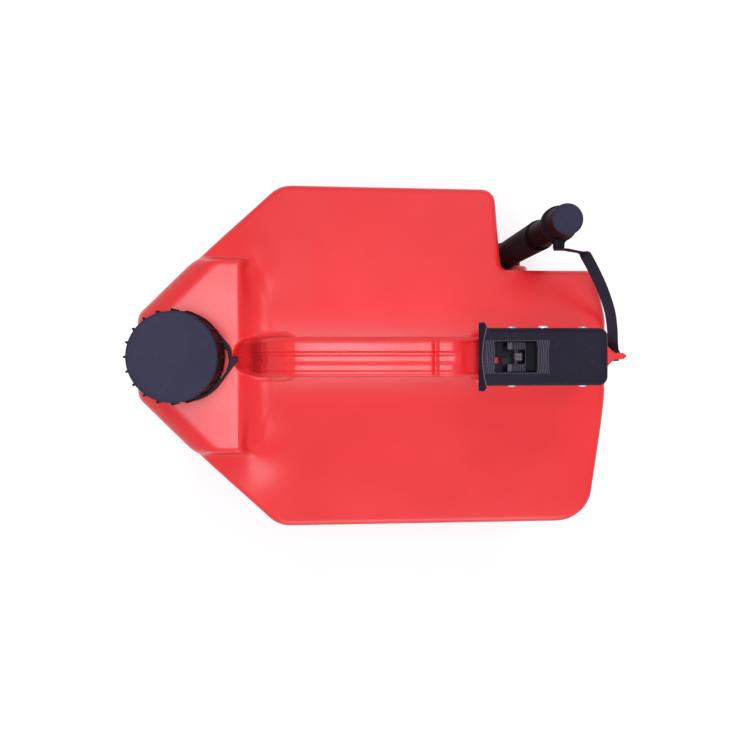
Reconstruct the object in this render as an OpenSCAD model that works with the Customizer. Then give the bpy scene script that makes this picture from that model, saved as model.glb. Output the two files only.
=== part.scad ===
// Bottom-pour fuel can: hollow tank, thumb trigger with push rod and foot valve, swivel spout.
// +X is the front, +Y the spout side, +Z up. The origin is on the flat base. Millimetres.

/* [Tank] */
// Length from the rear tip to the nose
tank_l = 404; // [396:1:412]
// Distance of the rear tip behind the origin
tail_back = 204; // [200:1:208]
// Width across the rear shoulders
tank_w = 304; // [298:1:312]
// Width across the front corners
tank_front_w = 298; // [292:1:304]
// Width of the blunt rear tip
tip_w = 71; // [60:1:84]
// Distance of the rear shoulders behind the origin
shoulder_back = 83; // [75:1:95]
// Height of the eaves
eave_z = 198; // [190:1:205]
// Height of the roof beside the handle
ridge_z = 230; // [226:1:233]
// Height of the flat round the filler neck
plateau_z = 238; // [235:1:241]
// Wall thickness of the tank
wall = 3; // [2:0.5:4]
// Rounding of the base edge
base_round = 10; // [6:1:14]

/* [Spout notch] */
// Distance of the notch's back wall from the centreline
notch_y = 75; // [70:1:80]
// Distance of the notch's rear wall in front of the origin
notch_x = 112; // [106:1:116]

/* [Handle] */
// Width of the grip
handle_w = 31; // [26:1:34]
// Height of the top of the grip
handle_z = 304; // [300:1:306]
// Depth of the grip, top to underside
grip_d = 27; // [22:1:30]
// Rear end of the hand gap
gap_rear_x = -72; // [-78:1:-66]
// Front end of the hand gap
gap_front_x = 84; // [76:1:86]

/* [Filler] */
// Distance of the filler neck behind the origin
cap_back = 164; // [160:1:167]
// Bore radius of the neck
neck_bore_r = 27; // [24:0.5:28]
// Outer radius of the neck
neck_r = 32; // [31:0.5:33]
// Height of the neck's mouth
neck_z = 268; // [264:1:270]
// Outer radius of the fill cap
cap_r = 36.6; // [36:0.1:38]
// Height of the fill cap's top
cap_z = 278; // [276:1:281]
// Lugs round the fill cap
cap_lugs = 20; // [12:1:26]

/* [Trigger and cover] */
// Rear end of the cover
cover_rear_x = 75; // [73:1:76]
// Front end of the cover
cover_front_x = 171; // [168:1:174]
// Width of the cover
cover_w = 44; // [43:0.5:46]
// Height of the cover's top
cover_z = 313; // [312:0.5:315]
// Height of the cover's sides
cover_h = 28; // [26:0.5:30]
// Wall thickness of the cover
cover_t = 2.5; // [2:0.1:3]
// Distance of the rod in front of the origin
rod_x = 104.5; // [102:0.5:106]
// Distance of the trigger's pin in front of the rod
pin_ahead = 19.5; // [18:0.5:21]
// Radius of the trigger's pin
pin_r = 2; // [1.5:0.1:2.5]
// Radius of the push rod
rod_r = 2.5; // [2:0.1:3]

/* [Spout] */
// Distance of the spout in front of the origin
spout_x = 146; // [142:1:150]
// Height of the swivel axis
spout_z = 50; // [46:1:54]
// Distance of the stowed hose from the centreline
spout_y = 107; // [105:1:109]
// Outer radius of the hose over its ribs
hose_r = 13.5; // [13:0.1:14.5]
// Bore radius of the hose
hose_bore_r = 9.95; // [9:0.05:10.5]
// Depth of the ribs
rib_d = 1.8; // [1:0.1:2.4]
// Number of ribs
hose_ribs = 13; // [8:1:16]
// Outer radius of the dust cap's top
dust_r = 12.4; // [12:0.1:13]
// Height of the dust cap's top
dust_z = 296; // [294:1:300]

/* [Fits] */
// Radial clearance of a running or push fit
run_gap = 0.05; // [0.03:0.01:0.08]
// Clearance between moving faces that do not guide each other
free_gap = 0.4; // [0.3:0.05:0.6]

/* [Hidden] */
$fn = 64;

red = "#e8383c";
black = "#2b2b33";
rubber = "#1c1a1e";
steel = "#c4c6c9";
natural = "#d8d4c4";

nose_x = tank_l - tail_back;

// Raised flat: front edge, half width, runs of its walls down to the eaves, and the flank at the rear
plateau_front_x = -115;
plateau_half_w = 79.5;
plateau_front_run = 52;
plateau_corner_run = 8;
plateau_side_run = 18;
flank_w = 14.5;
flank_drop = 13;

// Handle: foot of its rear end, top of that end, start of the dip to the cover, and the web behind it
root_z = ridge_z - 12;
grip_foot_x = -104;
grip_rear_x = -99;
grip_dip_x = 57;
grip_end_r = 36;
grip_dip_r = 16;
loop_x = 42.3;
web_gap = 0.8;
web_rear_x = -cap_back + loop_x + web_gap;

// Plan of the tank: x, y and radius of each corner, anticlockwise
outline = [
    [-tail_back, -tip_w / 2, 14],
    [-shoulder_back, -tank_w / 2, 26],
    [nose_x - 8, -tank_front_w / 2, 30],
    [nose_x - 0.5, -34, 60],
    [nose_x - 0.5, 34, 60],
    [nose_x - 9, notch_y, 8],
    [notch_x, notch_y, 20],
    [notch_x - 5, tank_front_w / 2, 9],
    [-shoulder_back, tank_w / 2, 26],
    [-tail_back, tip_w / 2, 14]
];
corner_steps = 6;

// Corner functions: inset moves each side inward, and the radius follows
function unit(v) = v / norm(v);
function left(u) = [-u.y, u.x];
function flat(p) = [p.x, p.y];
function turn_of(u, v) = atan2(u.x * v.y - u.y * v.x, u * v);
function corner_arc(before, at, after, inset) =
    let (u = unit(flat(at) - flat(before)))
    let (v = unit(flat(after) - flat(at)))
    let (turn = turn_of(u, v))
    let (side = turn > 0 ? 1 : -1)
    let (r = max(at[2] - side * inset, 0.5))
    let (peak = flat(at) + inset * (left(u) + left(v)) / (1 + left(u) * left(v)))
    let (start = peak - u * r * tan(abs(turn) / 2))
    let (centre = start + side * left(u) * r)
    [for (k = [0:corner_steps])
        let (a = side * abs(turn) * k / corner_steps)
        let (w = start - centre)
        centre + [w.x * cos(a) - w.y * sin(a), w.x * sin(a) + w.y * cos(a)]];
function rounded(points, inset = 0) =
    let (n = len(points))
    [for (i = [0:n - 1]) each corner_arc(points[(i + n - 1) % n], points[i], points[(i + 1) % n], inset)];

// Levels and places that several pieces share
cap_x = -cap_back;
seal_t = 2.5;
cap_wall = 2.8;
cap_bore_r = cap_r - cap_wall;
skirt_z = plateau_z + 5;
ring_t = 3.5;
ring_bore_r = neck_r + 2.8;
ring_w = 3.2;
ring_r = ring_bore_r + ring_w;
tab_tip = 47.4;
head_w = cover_w - 2 * cover_t - 2 * run_gap;
head_drop = 14;
pocket_drop = 25;
pin_drop = 7.5;
screw_drop = 17;
head_z = cover_z - head_drop;
cover_low_z = cover_z - cover_h;
pocket_z = cover_z - pocket_drop;
pin_x = rod_x + pin_ahead;
pin_z = cover_z - pin_drop;
lever_t = 5;
lever_low_z = pin_z - lever_t / 2;
slot_half = 3.4;
trigger_half_w = 11.3;
screw_xs = [102, 157.5];
screw_z = cover_z - screw_drop;
screw_r = 1.6;
screw_head_r = 3.4;
screw_head_t = 1.6;
screw_l = 7;
cross_pin_r = 1.5;
cross_pin_z = lever_low_z - cross_pin_r - free_gap;
gland_r = 7;
gland_l = 20;
gland_low_z = pocket_z - gland_l;
gland_flange_r = 10;
gland_flange_t = 2;
vent_t = 3.5;
vent_r = 6;
post_wall = 4;

// Foot valve and outlet pipe
chamber_r = 19;
chamber_wall = 3.5;
chamber_low_z = 32;
chamber_high_z = 70;
seat_r = 9;
pipe_r = 13;
pipe_bore_r = 9.5;
cross_pipe_r = 12.5;
cross_pipe_bore_r = 9;
flange_r = 22;
flange_t = 3.5;
gasket_t = 1.5;
seat_rise = 1.2;
seat_y = notch_y + seat_rise;
nut_t = 5.8;
nut_r = 18.8;
nut_end_y = seat_y + nut_t;
shroud_bore_r = nut_r + 0.6;
shroud_r = shroud_bore_r + wall;
spigot_r = 11;
spigot_bore_r = 8;
spigot_end_y = spout_y - 9;
poppet_r = 13;
poppet_t = 4;
poppet_seal_t = 2;
poppet_low_z = chamber_low_z - 0.2 - poppet_seal_t - poppet_t;
rod_top_z = lever_low_z + 0.5;
cage_r = 17;
cage_wall = 2;
cage_low_z = wall + free_gap;
spring_r = 8;
wire_r = 0.8;
spring_turns = 5;

// Swivel and spout
hub_r = 16.5;
hub_start_y = nut_end_y + free_gap;
clip_y = hub_start_y + 3;
clip_t = 1.8;
clip_depth = 1.6;
ring_groove_y = hub_start_y + 9.5;
ring_groove_w = 2.2;
ring_section_r = 0.8;
ring_floor_r = spigot_r - 2 * ring_section_r - 0.1;
riser_r = 12.5;
hub_end_y = spout_y + riser_r + 0.7;
shroud_end_y = spout_y - riser_r - 2 * free_gap;
riser_bore_r = 7.5;
riser_l = 24;
hose_low_z = spout_z + riser_l;
hose_high_z = 196;
hose_cuff = 7;
barb_l = 24;
collar_high_z = 250;
collar_low_r = 14;
collar_high_r = 12.4;
nozzle_r = hose_bore_r - run_gap;
nozzle_bore_r = 7;
nozzle_low_z = hose_high_z - 18;
bead_z = 260;
bead_t = 4;
bead_r = 12.2;
rim_low_z = bead_z + bead_t + free_gap;
rim_t = 8;
rim_r = 14.8;
dust_bore_r = nozzle_r + 0.3;
dust_roof_z = dust_z - 4;
nozzle_high_z = dust_roof_z - 1.5;
nozzle_ring_z = nozzle_high_z - 8;
nozzle_groove_r = nozzle_r - 1.4;
lug_l = 5;
lug_w = 8;

// Tether fin, strap and rivet
fin_low_z = 202;
fin_high_z = 226;
fin_half_t = 2.8;
rivet_x = nose_x + 10.5;
rivet_z = 214;
rivet_r = 2;
rivet_head_r = 3.8;
rivet_head_t = 1.8;
strap_w = 9;
strap_t = 1.8;
lug_end_y = spout_y - rim_r - lug_l;
// Route of the strap's middle: place, then the direction of its width
strap_route = [
    [[spout_x - 5, lug_end_y - strap_t / 2, 268], [0, 0, 1]],
    [[spout_x + 5, lug_end_y - strap_t / 2, 268], [0, 0, 1]],
    [[157, 84, 268], [0.1, 0.1, 1]],
    [[167, 80, 266], [0.5, 0.4, 0.8]],
    [[178, 70, 258], [0.8, 0.5, 0.4]],
    [[190, 55, 247], [0.9, 0.45, 0.2]],
    [[200, 35, 235], [0.9, 0.35, 0.3]],
    [[207, 18, 223], [0.8, 0.1, 0.6]],
    [[rivet_x - 0.5, 8, 216], [0.4, 0, 1]],
    [[rivet_x, fin_half_t + strap_t / 2, rivet_z], [0.2, 0, 1]],
    [[rivet_x + 1, fin_half_t + strap_t / 2, rivet_z - 5], [1, 0, 0.2]]
];

// Round bars along Z, Y or X, between two places on that axis
module bar_z(r, z0, z1) {
    translate([0, 0, z0]) cylinder(r = r, h = z1 - z0);
}
module bar_y(r, y0, y1) {
    translate([0, y0, 0]) rotate([-90, 0, 0]) cylinder(r = r, h = y1 - y0);
}
module bar_x(r, x0, x1) {
    translate([x0, 0, 0]) rotate([0, 90, 0]) cylinder(r = r, h = x1 - x0);
}

// Profiles drawn in the X-Z plane, centred on Y, or in the Y-Z plane along X
module along_y(w) {
    translate([0, w / 2, 0]) rotate([90, 0, 0]) linear_extrude(w) children();
}
module along_x(x0, x1) {
    translate([x0, 0, 0]) rotate([90, 0, 90]) linear_extrude(x1 - x0) children();
}
module box(x0, x1, half_w, z0, z1) {
    translate([x0, -half_w, z0]) cube([x1 - x0, 2 * half_w, z1 - z0]);
}

// Solid between level rings of the tank's outline: each ring is [inset, z]
module ring_loft(rings) {
    n = len(rounded(outline));
    points = [for (g = rings) for (p = rounded(outline, g[0])) [p.x, p.y, g[1]]];
    last = len(rings) - 1;
    sides = [for (k = [0:last - 1]) for (i = [0:n - 1])
        let (j = (i + 1) % n)
        each [[k * n + i, (k + 1) * n + j, k * n + j], [k * n + i, (k + 1) * n + i, (k + 1) * n + j]]];
    foot = [for (i = [0:n - 1]) i];
    top = [for (i = [n - 1:-1:0]) last * n + i];
    polyhedron(points, concat([foot, top], sides));
}

// Roof over the whole tank, with the raised flat at the rear
module roof_envelope(drop) {
    half_ridge = 20;
    half_w = tank_w / 2;
    along_x(-tail_back - 1, nose_x + 1)
        polygon([[-half_w, 0], [half_w, 0], [half_w, eave_z - drop], [half_ridge, ridge_z - drop],
            [-half_ridge, ridge_z - drop], [-half_w, eave_z - drop]]);
}
// Block round the neck that runs past the rear tip
function plateau_plan(half_w, corner_x, front_x) =
    let (half_front = handle_w / 2, rear_x = -tail_back - 1)
    [[rear_x, -half_w], [corner_x, -half_w], [front_x, -half_front], [front_x, half_front],
        [corner_x, half_w], [rear_x, half_w]];
module plateau_block(drop) {
    low_z = eave_z - 8 - drop;
    edge_x = plateau_front_x - drop;
    hull() {
        translate([0, 0, plateau_z - drop - 1]) linear_extrude(1)
            polygon(plateau_plan(plateau_half_w - drop, edge_x, edge_x));
        translate([0, 0, low_z]) linear_extrude(1)
            polygon(plateau_plan(plateau_half_w + plateau_side_run - drop,
                edge_x + plateau_corner_run, edge_x + plateau_front_run));
    }
}

module handle_grip() {
    overlap = 16;
    dip = 7;
    groove_w = 9;
    groove_d = 3;
    edge_r = 9;
    end_x = gap_front_x + overlap;
    tuck_z = min(handle_z - dip, head_z);
    side = rounded([[grip_foot_x, root_z, 1], [end_x, root_z, 1], [end_x, tuck_z, 1],
        [cover_rear_x - 2, tuck_z, 5], [grip_dip_x, handle_z, grip_dip_r],
        [grip_rear_x, handle_z, grip_end_r]]);
    gap = rounded([[gap_rear_x, root_z - 5, 1], [gap_front_x, root_z - 5, 1],
        [gap_front_x, handle_z - grip_d, 14], [gap_rear_x, handle_z - grip_d, 14]]);
    end = rounded([[-handle_w / 2, root_z - 1, 1], [handle_w / 2, root_z - 1, 1],
        [handle_w / 2, handle_z, edge_r], [-handle_w / 2, handle_z, edge_r]]);
    intersection() {
        along_y(handle_w + 2) difference() {
            polygon(side);
            polygon(gap);
        }
        along_x(grip_foot_x - 2, end_x + 1) difference() {
            polygon(end);
            translate([-groove_w / 2, handle_z - groove_d]) square([groove_w, 2 * groove_d]);
        }
    }
}

// Sloping web from the raised flat to the rear of the handle
module handle_web() {
    half_w = handle_w / 2 - 0.5;
    rise = 12;
    difference() {
        intersection() {
            along_y(handle_w) polygon([[web_rear_x, root_z], [gap_rear_x - half_w, root_z],
                [gap_rear_x - half_w, plateau_z + rise], [grip_foot_x, plateau_z + rise],
                [web_rear_x, plateau_z + 0.6]]);
            union() {
                translate([web_rear_x + half_w, 0, 0]) bar_z(half_w, root_z, plateau_z + 2 * rise);
                box(web_rear_x + half_w, gap_rear_x, half_w, root_z, plateau_z + 2 * rise);
            }
        }
        translate([cap_x, 0, plateau_z]) linear_extrude(rise) lock_plan(web_gap);
    }
}

// Post that carries the trigger and its cover
module handle_post() {
    front_x = cover_front_x - cover_t - run_gap;
    along_y(head_w) polygon(rounded([[gap_front_x, root_z, 1], [front_x + 8, root_z, 1],
        [front_x, cover_low_z - 2, 2], [front_x, head_z, 3], [gap_front_x, head_z, 3]]));
}

module tank() {
    hollow_top_z = gland_low_z - 6;
    flank_z = plateau_z - flank_drop;
    flank_high = flank_drop + 1;
    flank_in = flank_w * flank_high / flank_drop;
    color(red) difference() {
        union() {
            intersection() {
                ring_loft([[base_round * 0.6, 0], [base_round * 0.15, base_round * 0.3], [0, base_round],
                    [0, flank_z], [flank_in, flank_z + flank_high]]);
                union() {
                    roof_envelope(0);
                    plateau_block(0);
                }
            }
            translate([cap_x, 0, 0]) bar_z(neck_r, flank_z, neck_z);
            outlet_shroud();
            handle_grip();
            handle_web();
            handle_post();
            fin();
        }
        intersection() {
            ring_loft([[wall + base_round * 0.6, wall], [wall, base_round + wall],
                [wall, flank_z - wall / 2], [wall + flank_in, flank_z - wall / 2 + flank_high]]);
            union() {
                roof_envelope(wall);
                plateau_block(wall);
            }
        }
        translate([cap_x, 0, 0]) bar_z(neck_bore_r, root_z, neck_z + 1);
        box(gap_front_x + post_wall, cover_front_x - 2 * post_wall, head_w / 2 - post_wall,
            ridge_z - 15, hollow_top_z);
        box(rod_x - 14, pin_x + 6, trigger_half_w + 2, pocket_z, cover_z);
        translate([rod_x, 0, 0]) bar_z(gland_r + run_gap, hollow_top_z - 1, pocket_z + 1);
        translate([spout_x, 0, spout_z]) {
            bar_y(pipe_r + run_gap, notch_y - 2 * wall, seat_y + 1);
            bar_y(shroud_bore_r, seat_y, shroud_end_y + 1);
        }
        translate([rivet_x, 0, rivet_z]) bar_y(rivet_r + run_gap, -2 * fin_half_t, 2 * fin_half_t);
        for (x = screw_xs, s = [-1, 1])
            translate([x, s * (head_w / 2 - screw_l / 2 + 1), screw_z])
                rotate([90, 0, 0]) cylinder(r = screw_r + run_gap, h = screw_l + 2, center = true);
    }
}

// Collar moulded round the outlet, where the spout's swivel sits
module outlet_shroud() {
    chamfer = 3;
    translate([spout_x, notch_y - wall / 2, spout_z]) rotate([-90, 0, 0]) rotate_extrude()
        let (l = shroud_end_y - notch_y + wall / 2)
        polygon([[0, 0], [shroud_r, 0], [shroud_r, l - chamfer], [shroud_r - chamfer / 2, l], [0, l]]);
}

// Lug on the nose that the tether is riveted to
module fin() {
    root_x = nose_x - wall;
    half_root = 12.5;
    half_flat = rivet_head_r + run_gap;
    tip_x = rivet_x + 6.5;
    translate([0, 0, fin_low_z]) linear_extrude(fin_high_z - fin_low_z)
        polygon([[root_x, -half_root], [rivet_x - half_flat, -fin_half_t],
            [rivet_x + half_flat, -fin_half_t], [tip_x, -1], [tip_x, 1], [rivet_x + half_flat, fin_half_t],
            [rivet_x - half_flat, fin_half_t], [root_x, half_root]]);
}

module fill_cap() {
    lug_w = 3.4;
    lug_out = 2;
    lug_low_z = cap_z - 17;
    lug_h = 15;
    color(black) translate([cap_x, 0, 0]) difference() {
        union() {
            bar_z(cap_r, skirt_z, cap_z);
            for (i = [0:cap_lugs - 1])
                rotate(360 * i / cap_lugs)
                    translate([cap_r - 2, -lug_w / 2, lug_low_z]) cube([lug_out + 2, lug_w, lug_h]);
        }
        bar_z(cap_bore_r, skirt_z - 1, neck_z + seal_t);
        bar_z(cap_r - 5, cap_z - 1.2, cap_z + 1);
    }
}

module cap_seal() {
    color(rubber) translate([cap_x, 0, 0]) difference() {
        bar_z(cap_bore_r - run_gap, neck_z, neck_z + seal_t);
        bar_z(neck_bore_r - 3, neck_z - 1, neck_z + seal_t + 1);
    }
}

// Lock ring with a springy loop and release tab at its front; corners from the cap's axis, anticlockwise
module lock_plan(spread) {
    side = [[-ring_r, ring_r, ring_r - 1], [-ring_r, -ring_r, ring_r - 1], [22, -ring_r, ring_r - 2]];
    tab = [[tab_tip, -3.3, 1.2], [tab_tip - 0.5, -0.3, 0.8], [loop_x, 0.1, 0.6]];
    loop = [[loop_x, 7, 8], [17.4, ring_r, ring_r - 2]];
    polygon(rounded(concat(side, tab, loop), -spread));
}
module cap_lock_ring() {
    slot = [[28, -14, 1], [33.4, -19.2, 1], [38, -12.4, 8], [40.4, -4.5, 10], [38.8, 4.8, 2], [33, 9, 1],
        [28, 5, 1]];
    color(black) translate([cap_x, 0, plateau_z]) linear_extrude(ring_t) difference() {
        lock_plan(0);
        circle(ring_bore_r);
        polygon(rounded(slot));
    }
}

module trigger_cover() {
    half_w = cover_w / 2;
    inner_half = half_w - cover_t;
    window_rear = 18.5;
    window_front = 13.5;
    window = [rod_x - window_rear, rod_x + window_front];
    rib_pitch = 2.2;
    rib_w = 1;
    rib_h = 0.8;
    rib_half_l = 12.5;
    rear_ribs = 4;
    front_ribs = 6;
    lip = 3.5;
    color(black) difference() {
        union() {
            intersection() {
                translate([0, 0, cover_low_z]) linear_extrude(cover_z - cover_low_z)
                    polygon(rounded([[cover_rear_x, -half_w, 1], [cover_front_x, -half_w, 7],
                        [cover_front_x, half_w, 7], [cover_rear_x, half_w, 1]]));
                along_x(cover_rear_x, cover_front_x)
                    polygon(rounded([[-half_w, cover_low_z, 1], [half_w, cover_low_z, 1],
                        [half_w, cover_z, 7], [-half_w, cover_z, 7]]));
            }
            for (s = [-1, 1])
                translate([0, 0, cover_low_z]) linear_extrude(cover_z - 7 - cover_low_z)
                    polygon([[cover_rear_x, s * inner_half], [cover_rear_x + 8, s * inner_half],
                        [cover_rear_x + 8, s * half_w], [cover_rear_x, s * (half_w + lip)]]);
            for (i = [0:rear_ribs - 1])
                box(window[0] - rib_w - i * rib_pitch, window[0] - i * rib_pitch, rib_half_l,
                    cover_z - 1, cover_z + rib_h);
            for (i = [0:front_ribs - 1])
                box(window[1] + i * rib_pitch, window[1] + rib_w + i * rib_pitch, rib_half_l,
                    cover_z - 1, cover_z + rib_h);
        }
        box(cover_rear_x - 1, cover_front_x - cover_t, inner_half, cover_low_z - 1, cover_z - cover_t);
        box(window[0], window[1], trigger_half_w + free_gap, cover_z - 5, cover_z + 2);
        translate([pin_x, 0, pin_z]) bar_y(pin_r + run_gap, -half_w - 5, half_w + 5);
        for (x = screw_xs)
            translate([x, 0, screw_z]) bar_y(screw_r + run_gap, -half_w - 5, half_w + 5);
    }
}

// One screw along -Y, its head on the plane y = 0
module side_screw() {
    shank_l = screw_l + cover_t;
    difference() {
        union() {
            bar_y(screw_r, -shank_l, 0.5);
            bar_y(screw_head_r, 0, screw_head_t);
        }
        translate([-0.5, screw_head_t - 0.8, -screw_head_r]) cube([1, 2, 2 * screw_head_r]);
    }
}

module cover_screws() {
    color(steel) for (x = screw_xs, s = [0, 180])
        translate([x, 0, screw_z]) rotate([0, 0, s]) translate([0, cover_w / 2, 0]) side_screw();
}

module trigger() {
    tip_x = rod_x - 9.5;
    slot_end_x = rod_x + 6;
    pad_z = lever_low_z + 6;
    hub = 4.3;
    rib_pitch = 2.6;
    color(black) difference() {
        union() {
            translate([pin_x, 0, pin_z]) bar_y(hub, -trigger_half_w, trigger_half_w);
            box(tip_x, pin_x, trigger_half_w, lever_low_z, lever_low_z + 3);
            box(tip_x, slot_end_x, trigger_half_w, lever_low_z, pad_z);
            for (i = [0:5])
                box(tip_x + 0.6 + i * rib_pitch, tip_x + 1.8 + i * rib_pitch, trigger_half_w,
                    pad_z - 1, pad_z + 0.8);
        }
        box(tip_x - 1, slot_end_x - 1, slot_half, lever_low_z - 1, pad_z + 2);
        translate([pin_x, 0, pin_z]) bar_y(pin_r + run_gap, -trigger_half_w - 1, trigger_half_w + 1);
    }
}

module trigger_pin() {
    color(steel) translate([pin_x, 0, pin_z]) {
        bar_y(pin_r, -cover_w / 2 - 0.5, cover_w / 2 + 0.5);
        bar_y(pin_r + 1.2, cover_w / 2, cover_w / 2 + 1.5);
    }
}

module push_rod() {
    color(steel) translate([rod_x, 0, 0]) difference() {
        bar_z(rod_r, poppet_low_z - 2, rod_top_z);
        translate([0, 0, cross_pin_z]) bar_y(cross_pin_r + run_gap, -rod_r - 1, rod_r + 1);
    }
}

module rod_head() {
    half = 2.9;
    height = 7;
    color(steel) translate([rod_x, 0, rod_top_z]) linear_extrude(height)
        polygon(rounded([[-half, -half, 0.8], [half, -half, 0.8], [half, half, 0.8], [-half, half, 0.8]]));
}

// Pin through the rod, under the trigger's two tines
module rod_cross_pin() {
    half_l = trigger_half_w - 2;
    color(steel) translate([rod_x, 0, cross_pin_z]) bar_y(cross_pin_r, -half_l, half_l);
}

module vent_gland() {
    color(natural) translate([rod_x, 0, 0]) difference() {
        union() {
            bar_z(gland_r, gland_low_z, pocket_z + 1);
            bar_z(gland_flange_r, pocket_z, pocket_z + gland_flange_t);
        }
        bar_z(rod_r + run_gap, gland_low_z - 1, pocket_z + gland_flange_t + 1);
    }
}

module vent_seal() {
    color(rubber) translate([rod_x, 0, 0]) difference() {
        bar_z(vent_r, gland_low_z - free_gap - vent_t, gland_low_z - free_gap);
        bar_z(rod_r + run_gap, gland_low_z - 2 * vent_t, gland_low_z + 1);
    }
}

module valve_body() {
    inner_flange_y = notch_y - wall - gasket_t;
    chamber_bore_r = chamber_r - chamber_wall;
    clip_floor_r = spigot_r - clip_depth;
    color(natural) difference() {
        union() {
            translate([rod_x, 0, 0]) bar_z(chamber_r, chamber_low_z, chamber_high_z);
            translate([0, 0, spout_z]) bar_x(cross_pipe_r, rod_x, spout_x);
            translate([spout_x, 0, spout_z]) {
                bar_y(pipe_r, -pipe_r - 3, nut_end_y);
                bar_y(flange_r, inner_flange_y - flange_t, inner_flange_y);
                bar_y(spigot_r, nut_end_y - 1, spigot_end_y);
            }
        }
        translate([rod_x, 0, 0]) {
            bar_z(chamber_bore_r, chamber_low_z + chamber_wall, chamber_high_z - chamber_wall);
            bar_z(seat_r, chamber_low_z - 1, chamber_low_z + chamber_wall + 1);
            bar_z(rod_r + run_gap, chamber_high_z - chamber_wall - 1, chamber_high_z + 1);
        }
        translate([0, 0, spout_z]) bar_x(cross_pipe_bore_r, rod_x, spout_x);
        translate([spout_x, 0, spout_z]) {
            bar_y(pipe_bore_r, -pipe_bore_r - 2, notch_y);
            bar_y(spigot_bore_r, notch_y - 1, spigot_end_y + 1);
            difference() {
                bar_y(spigot_r + 1, clip_y - free_gap, clip_y + clip_t + free_gap);
                bar_y(clip_floor_r, clip_y - 2, clip_y + clip_t + 2);
            }
            difference() {
                bar_y(spigot_r + 1, ring_groove_y, ring_groove_y + ring_groove_w);
                bar_y(ring_floor_r, ring_groove_y - 1, ring_groove_y + ring_groove_w + 1);
            }
        }
    }
}

// Basket under the foot valve, open at four windows
module valve_cage() {
    window_w = 12;
    color(natural) translate([rod_x, 0, 0]) difference() {
        bar_z(cage_r, cage_low_z, chamber_low_z);
        bar_z(cage_r - cage_wall, cage_low_z + cage_wall, chamber_low_z + 1);
        for (a = [45, 135])
            rotate(a) box(-cage_r - 1, cage_r + 1, window_w / 2, cage_low_z + cage_wall, chamber_low_z - 8);
    }
}

module valve_poppet() {
    color(steel) translate([rod_x, 0, 0]) difference() {
        bar_z(poppet_r, poppet_low_z, poppet_low_z + poppet_t);
        bar_z(rod_r + run_gap, poppet_low_z - 1, poppet_low_z + poppet_t + 1);
    }
}

module poppet_seal() {
    color(rubber) translate([rod_x, 0, poppet_low_z + poppet_t]) difference() {
        bar_z(poppet_r - 1, 0, poppet_seal_t);
        bar_z(rod_r + run_gap, -1, poppet_seal_t + 1);
    }
}

// Coil between the cage's floor and the poppet
module valve_spring() {
    low_z = cage_low_z + cage_wall + wire_r + run_gap;
    high_z = poppet_low_z - wire_r - run_gap;
    rings_per_turn = 16;
    sides = 6;
    rings = spring_turns * rings_per_turn;
    points = [for (k = [0:rings]) for (s = [0:sides - 1])
        let (a = 360 * k / rings_per_turn)
        let (b = 360 * s / sides)
        let (r = spring_r + wire_r * cos(b))
        [rod_x + r * cos(a), r * sin(a), low_z + (high_z - low_z) * k / rings + wire_r * sin(b)]];
    walls = [for (k = [0:rings - 1]) for (s = [0:sides - 1])
        let (t = (s + 1) % sides)
        each [[k * sides + s, k * sides + t, (k + 1) * sides + t],
            [k * sides + s, (k + 1) * sides + t, (k + 1) * sides + s]]];
    start = [for (s = [sides - 1:-1:0]) s];
    finish = [for (s = [0:sides - 1]) rings * sides + s];
    color(steel) polyhedron(points, concat([start, finish], walls));
}

module outlet_gasket() {
    color(rubber) translate([spout_x, 0, spout_z]) difference() {
        bar_y(flange_r, notch_y - wall - gasket_t, notch_y - wall);
        bar_y(pipe_r + run_gap, notch_y - wall - 2 * gasket_t, notch_y);
    }
}

module outlet_nut() {
    color(black) translate([spout_x, 0, spout_z]) difference() {
        translate([0, seat_y, 0]) rotate([-90, 0, 0]) cylinder(r = nut_r, h = nut_t, $fn = 8);
        bar_y(pipe_r + run_gap, seat_y - 1, nut_end_y + 1);
    }
}

module spigot_o_ring() {
    color(rubber) translate([spout_x, ring_groove_y + ring_groove_w / 2, spout_z]) rotate([90, 0, 0])
        rotate_extrude() translate([ring_floor_r + ring_section_r + run_gap, 0])
            circle(ring_section_r, $fn = 32);
}

module clip_plate(r_in, r_out) {
    intersection() {
        difference() {
            bar_y(r_out, clip_y, clip_y + clip_t);
            bar_y(r_in, clip_y - 1, clip_y + clip_t + 1);
        }
        translate([1, 0, -r_out]) cube([r_out, hub_end_y, 2 * r_out]);
    }
}

module spout_elbow() {
    end_wall = 4;
    color(black) translate([spout_x, 0, spout_z]) difference() {
        union() {
            bar_y(hub_r, hub_start_y, hub_end_y);
            translate([0, spout_y, 0]) {
                bar_z(riser_r, 0, hose_low_z - spout_z);
                bar_z(nozzle_r, 1, hose_low_z - spout_z + barb_l);
            }
        }
        bar_y(spigot_r + run_gap, hub_start_y - 1, hub_end_y - end_wall);
        translate([0, spout_y, 0]) bar_z(riser_bore_r, 0, hose_low_z - spout_z + barb_l + 1);
        clip_plate(spigot_r - 1, hub_r + 2);
    }
}

module elbow_clip() {
    color(steel) translate([spout_x, 0, spout_z])
        clip_plate(spigot_r - clip_depth + free_gap, hub_r + 1);
}

module spout_hose() {
    ribbed = hose_high_z - hose_low_z - 2 * hose_cuff;
    pitch = ribbed / hose_ribs;
    valley_r = hose_r - rib_d;
    first_z = hose_low_z + hose_cuff;
    ribs = [for (i = [0:hose_ribs - 1])
        let (z = first_z + i * pitch)
        each [[valley_r, z + 0.12 * pitch], [hose_r, z + 0.34 * pitch], [hose_r, z + 0.66 * pitch],
            [valley_r, z + 0.88 * pitch]]];
    cuff_r = hose_r - 0.4;
    color(rubber) translate([spout_x, spout_y, 0]) rotate_extrude()
        polygon(concat([[hose_bore_r, hose_low_z], [cuff_r, hose_low_z], [cuff_r, first_z]], ribs,
            [[cuff_r, hose_high_z - hose_cuff], [cuff_r, hose_high_z], [hose_bore_r, hose_high_z]]));
}

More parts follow.
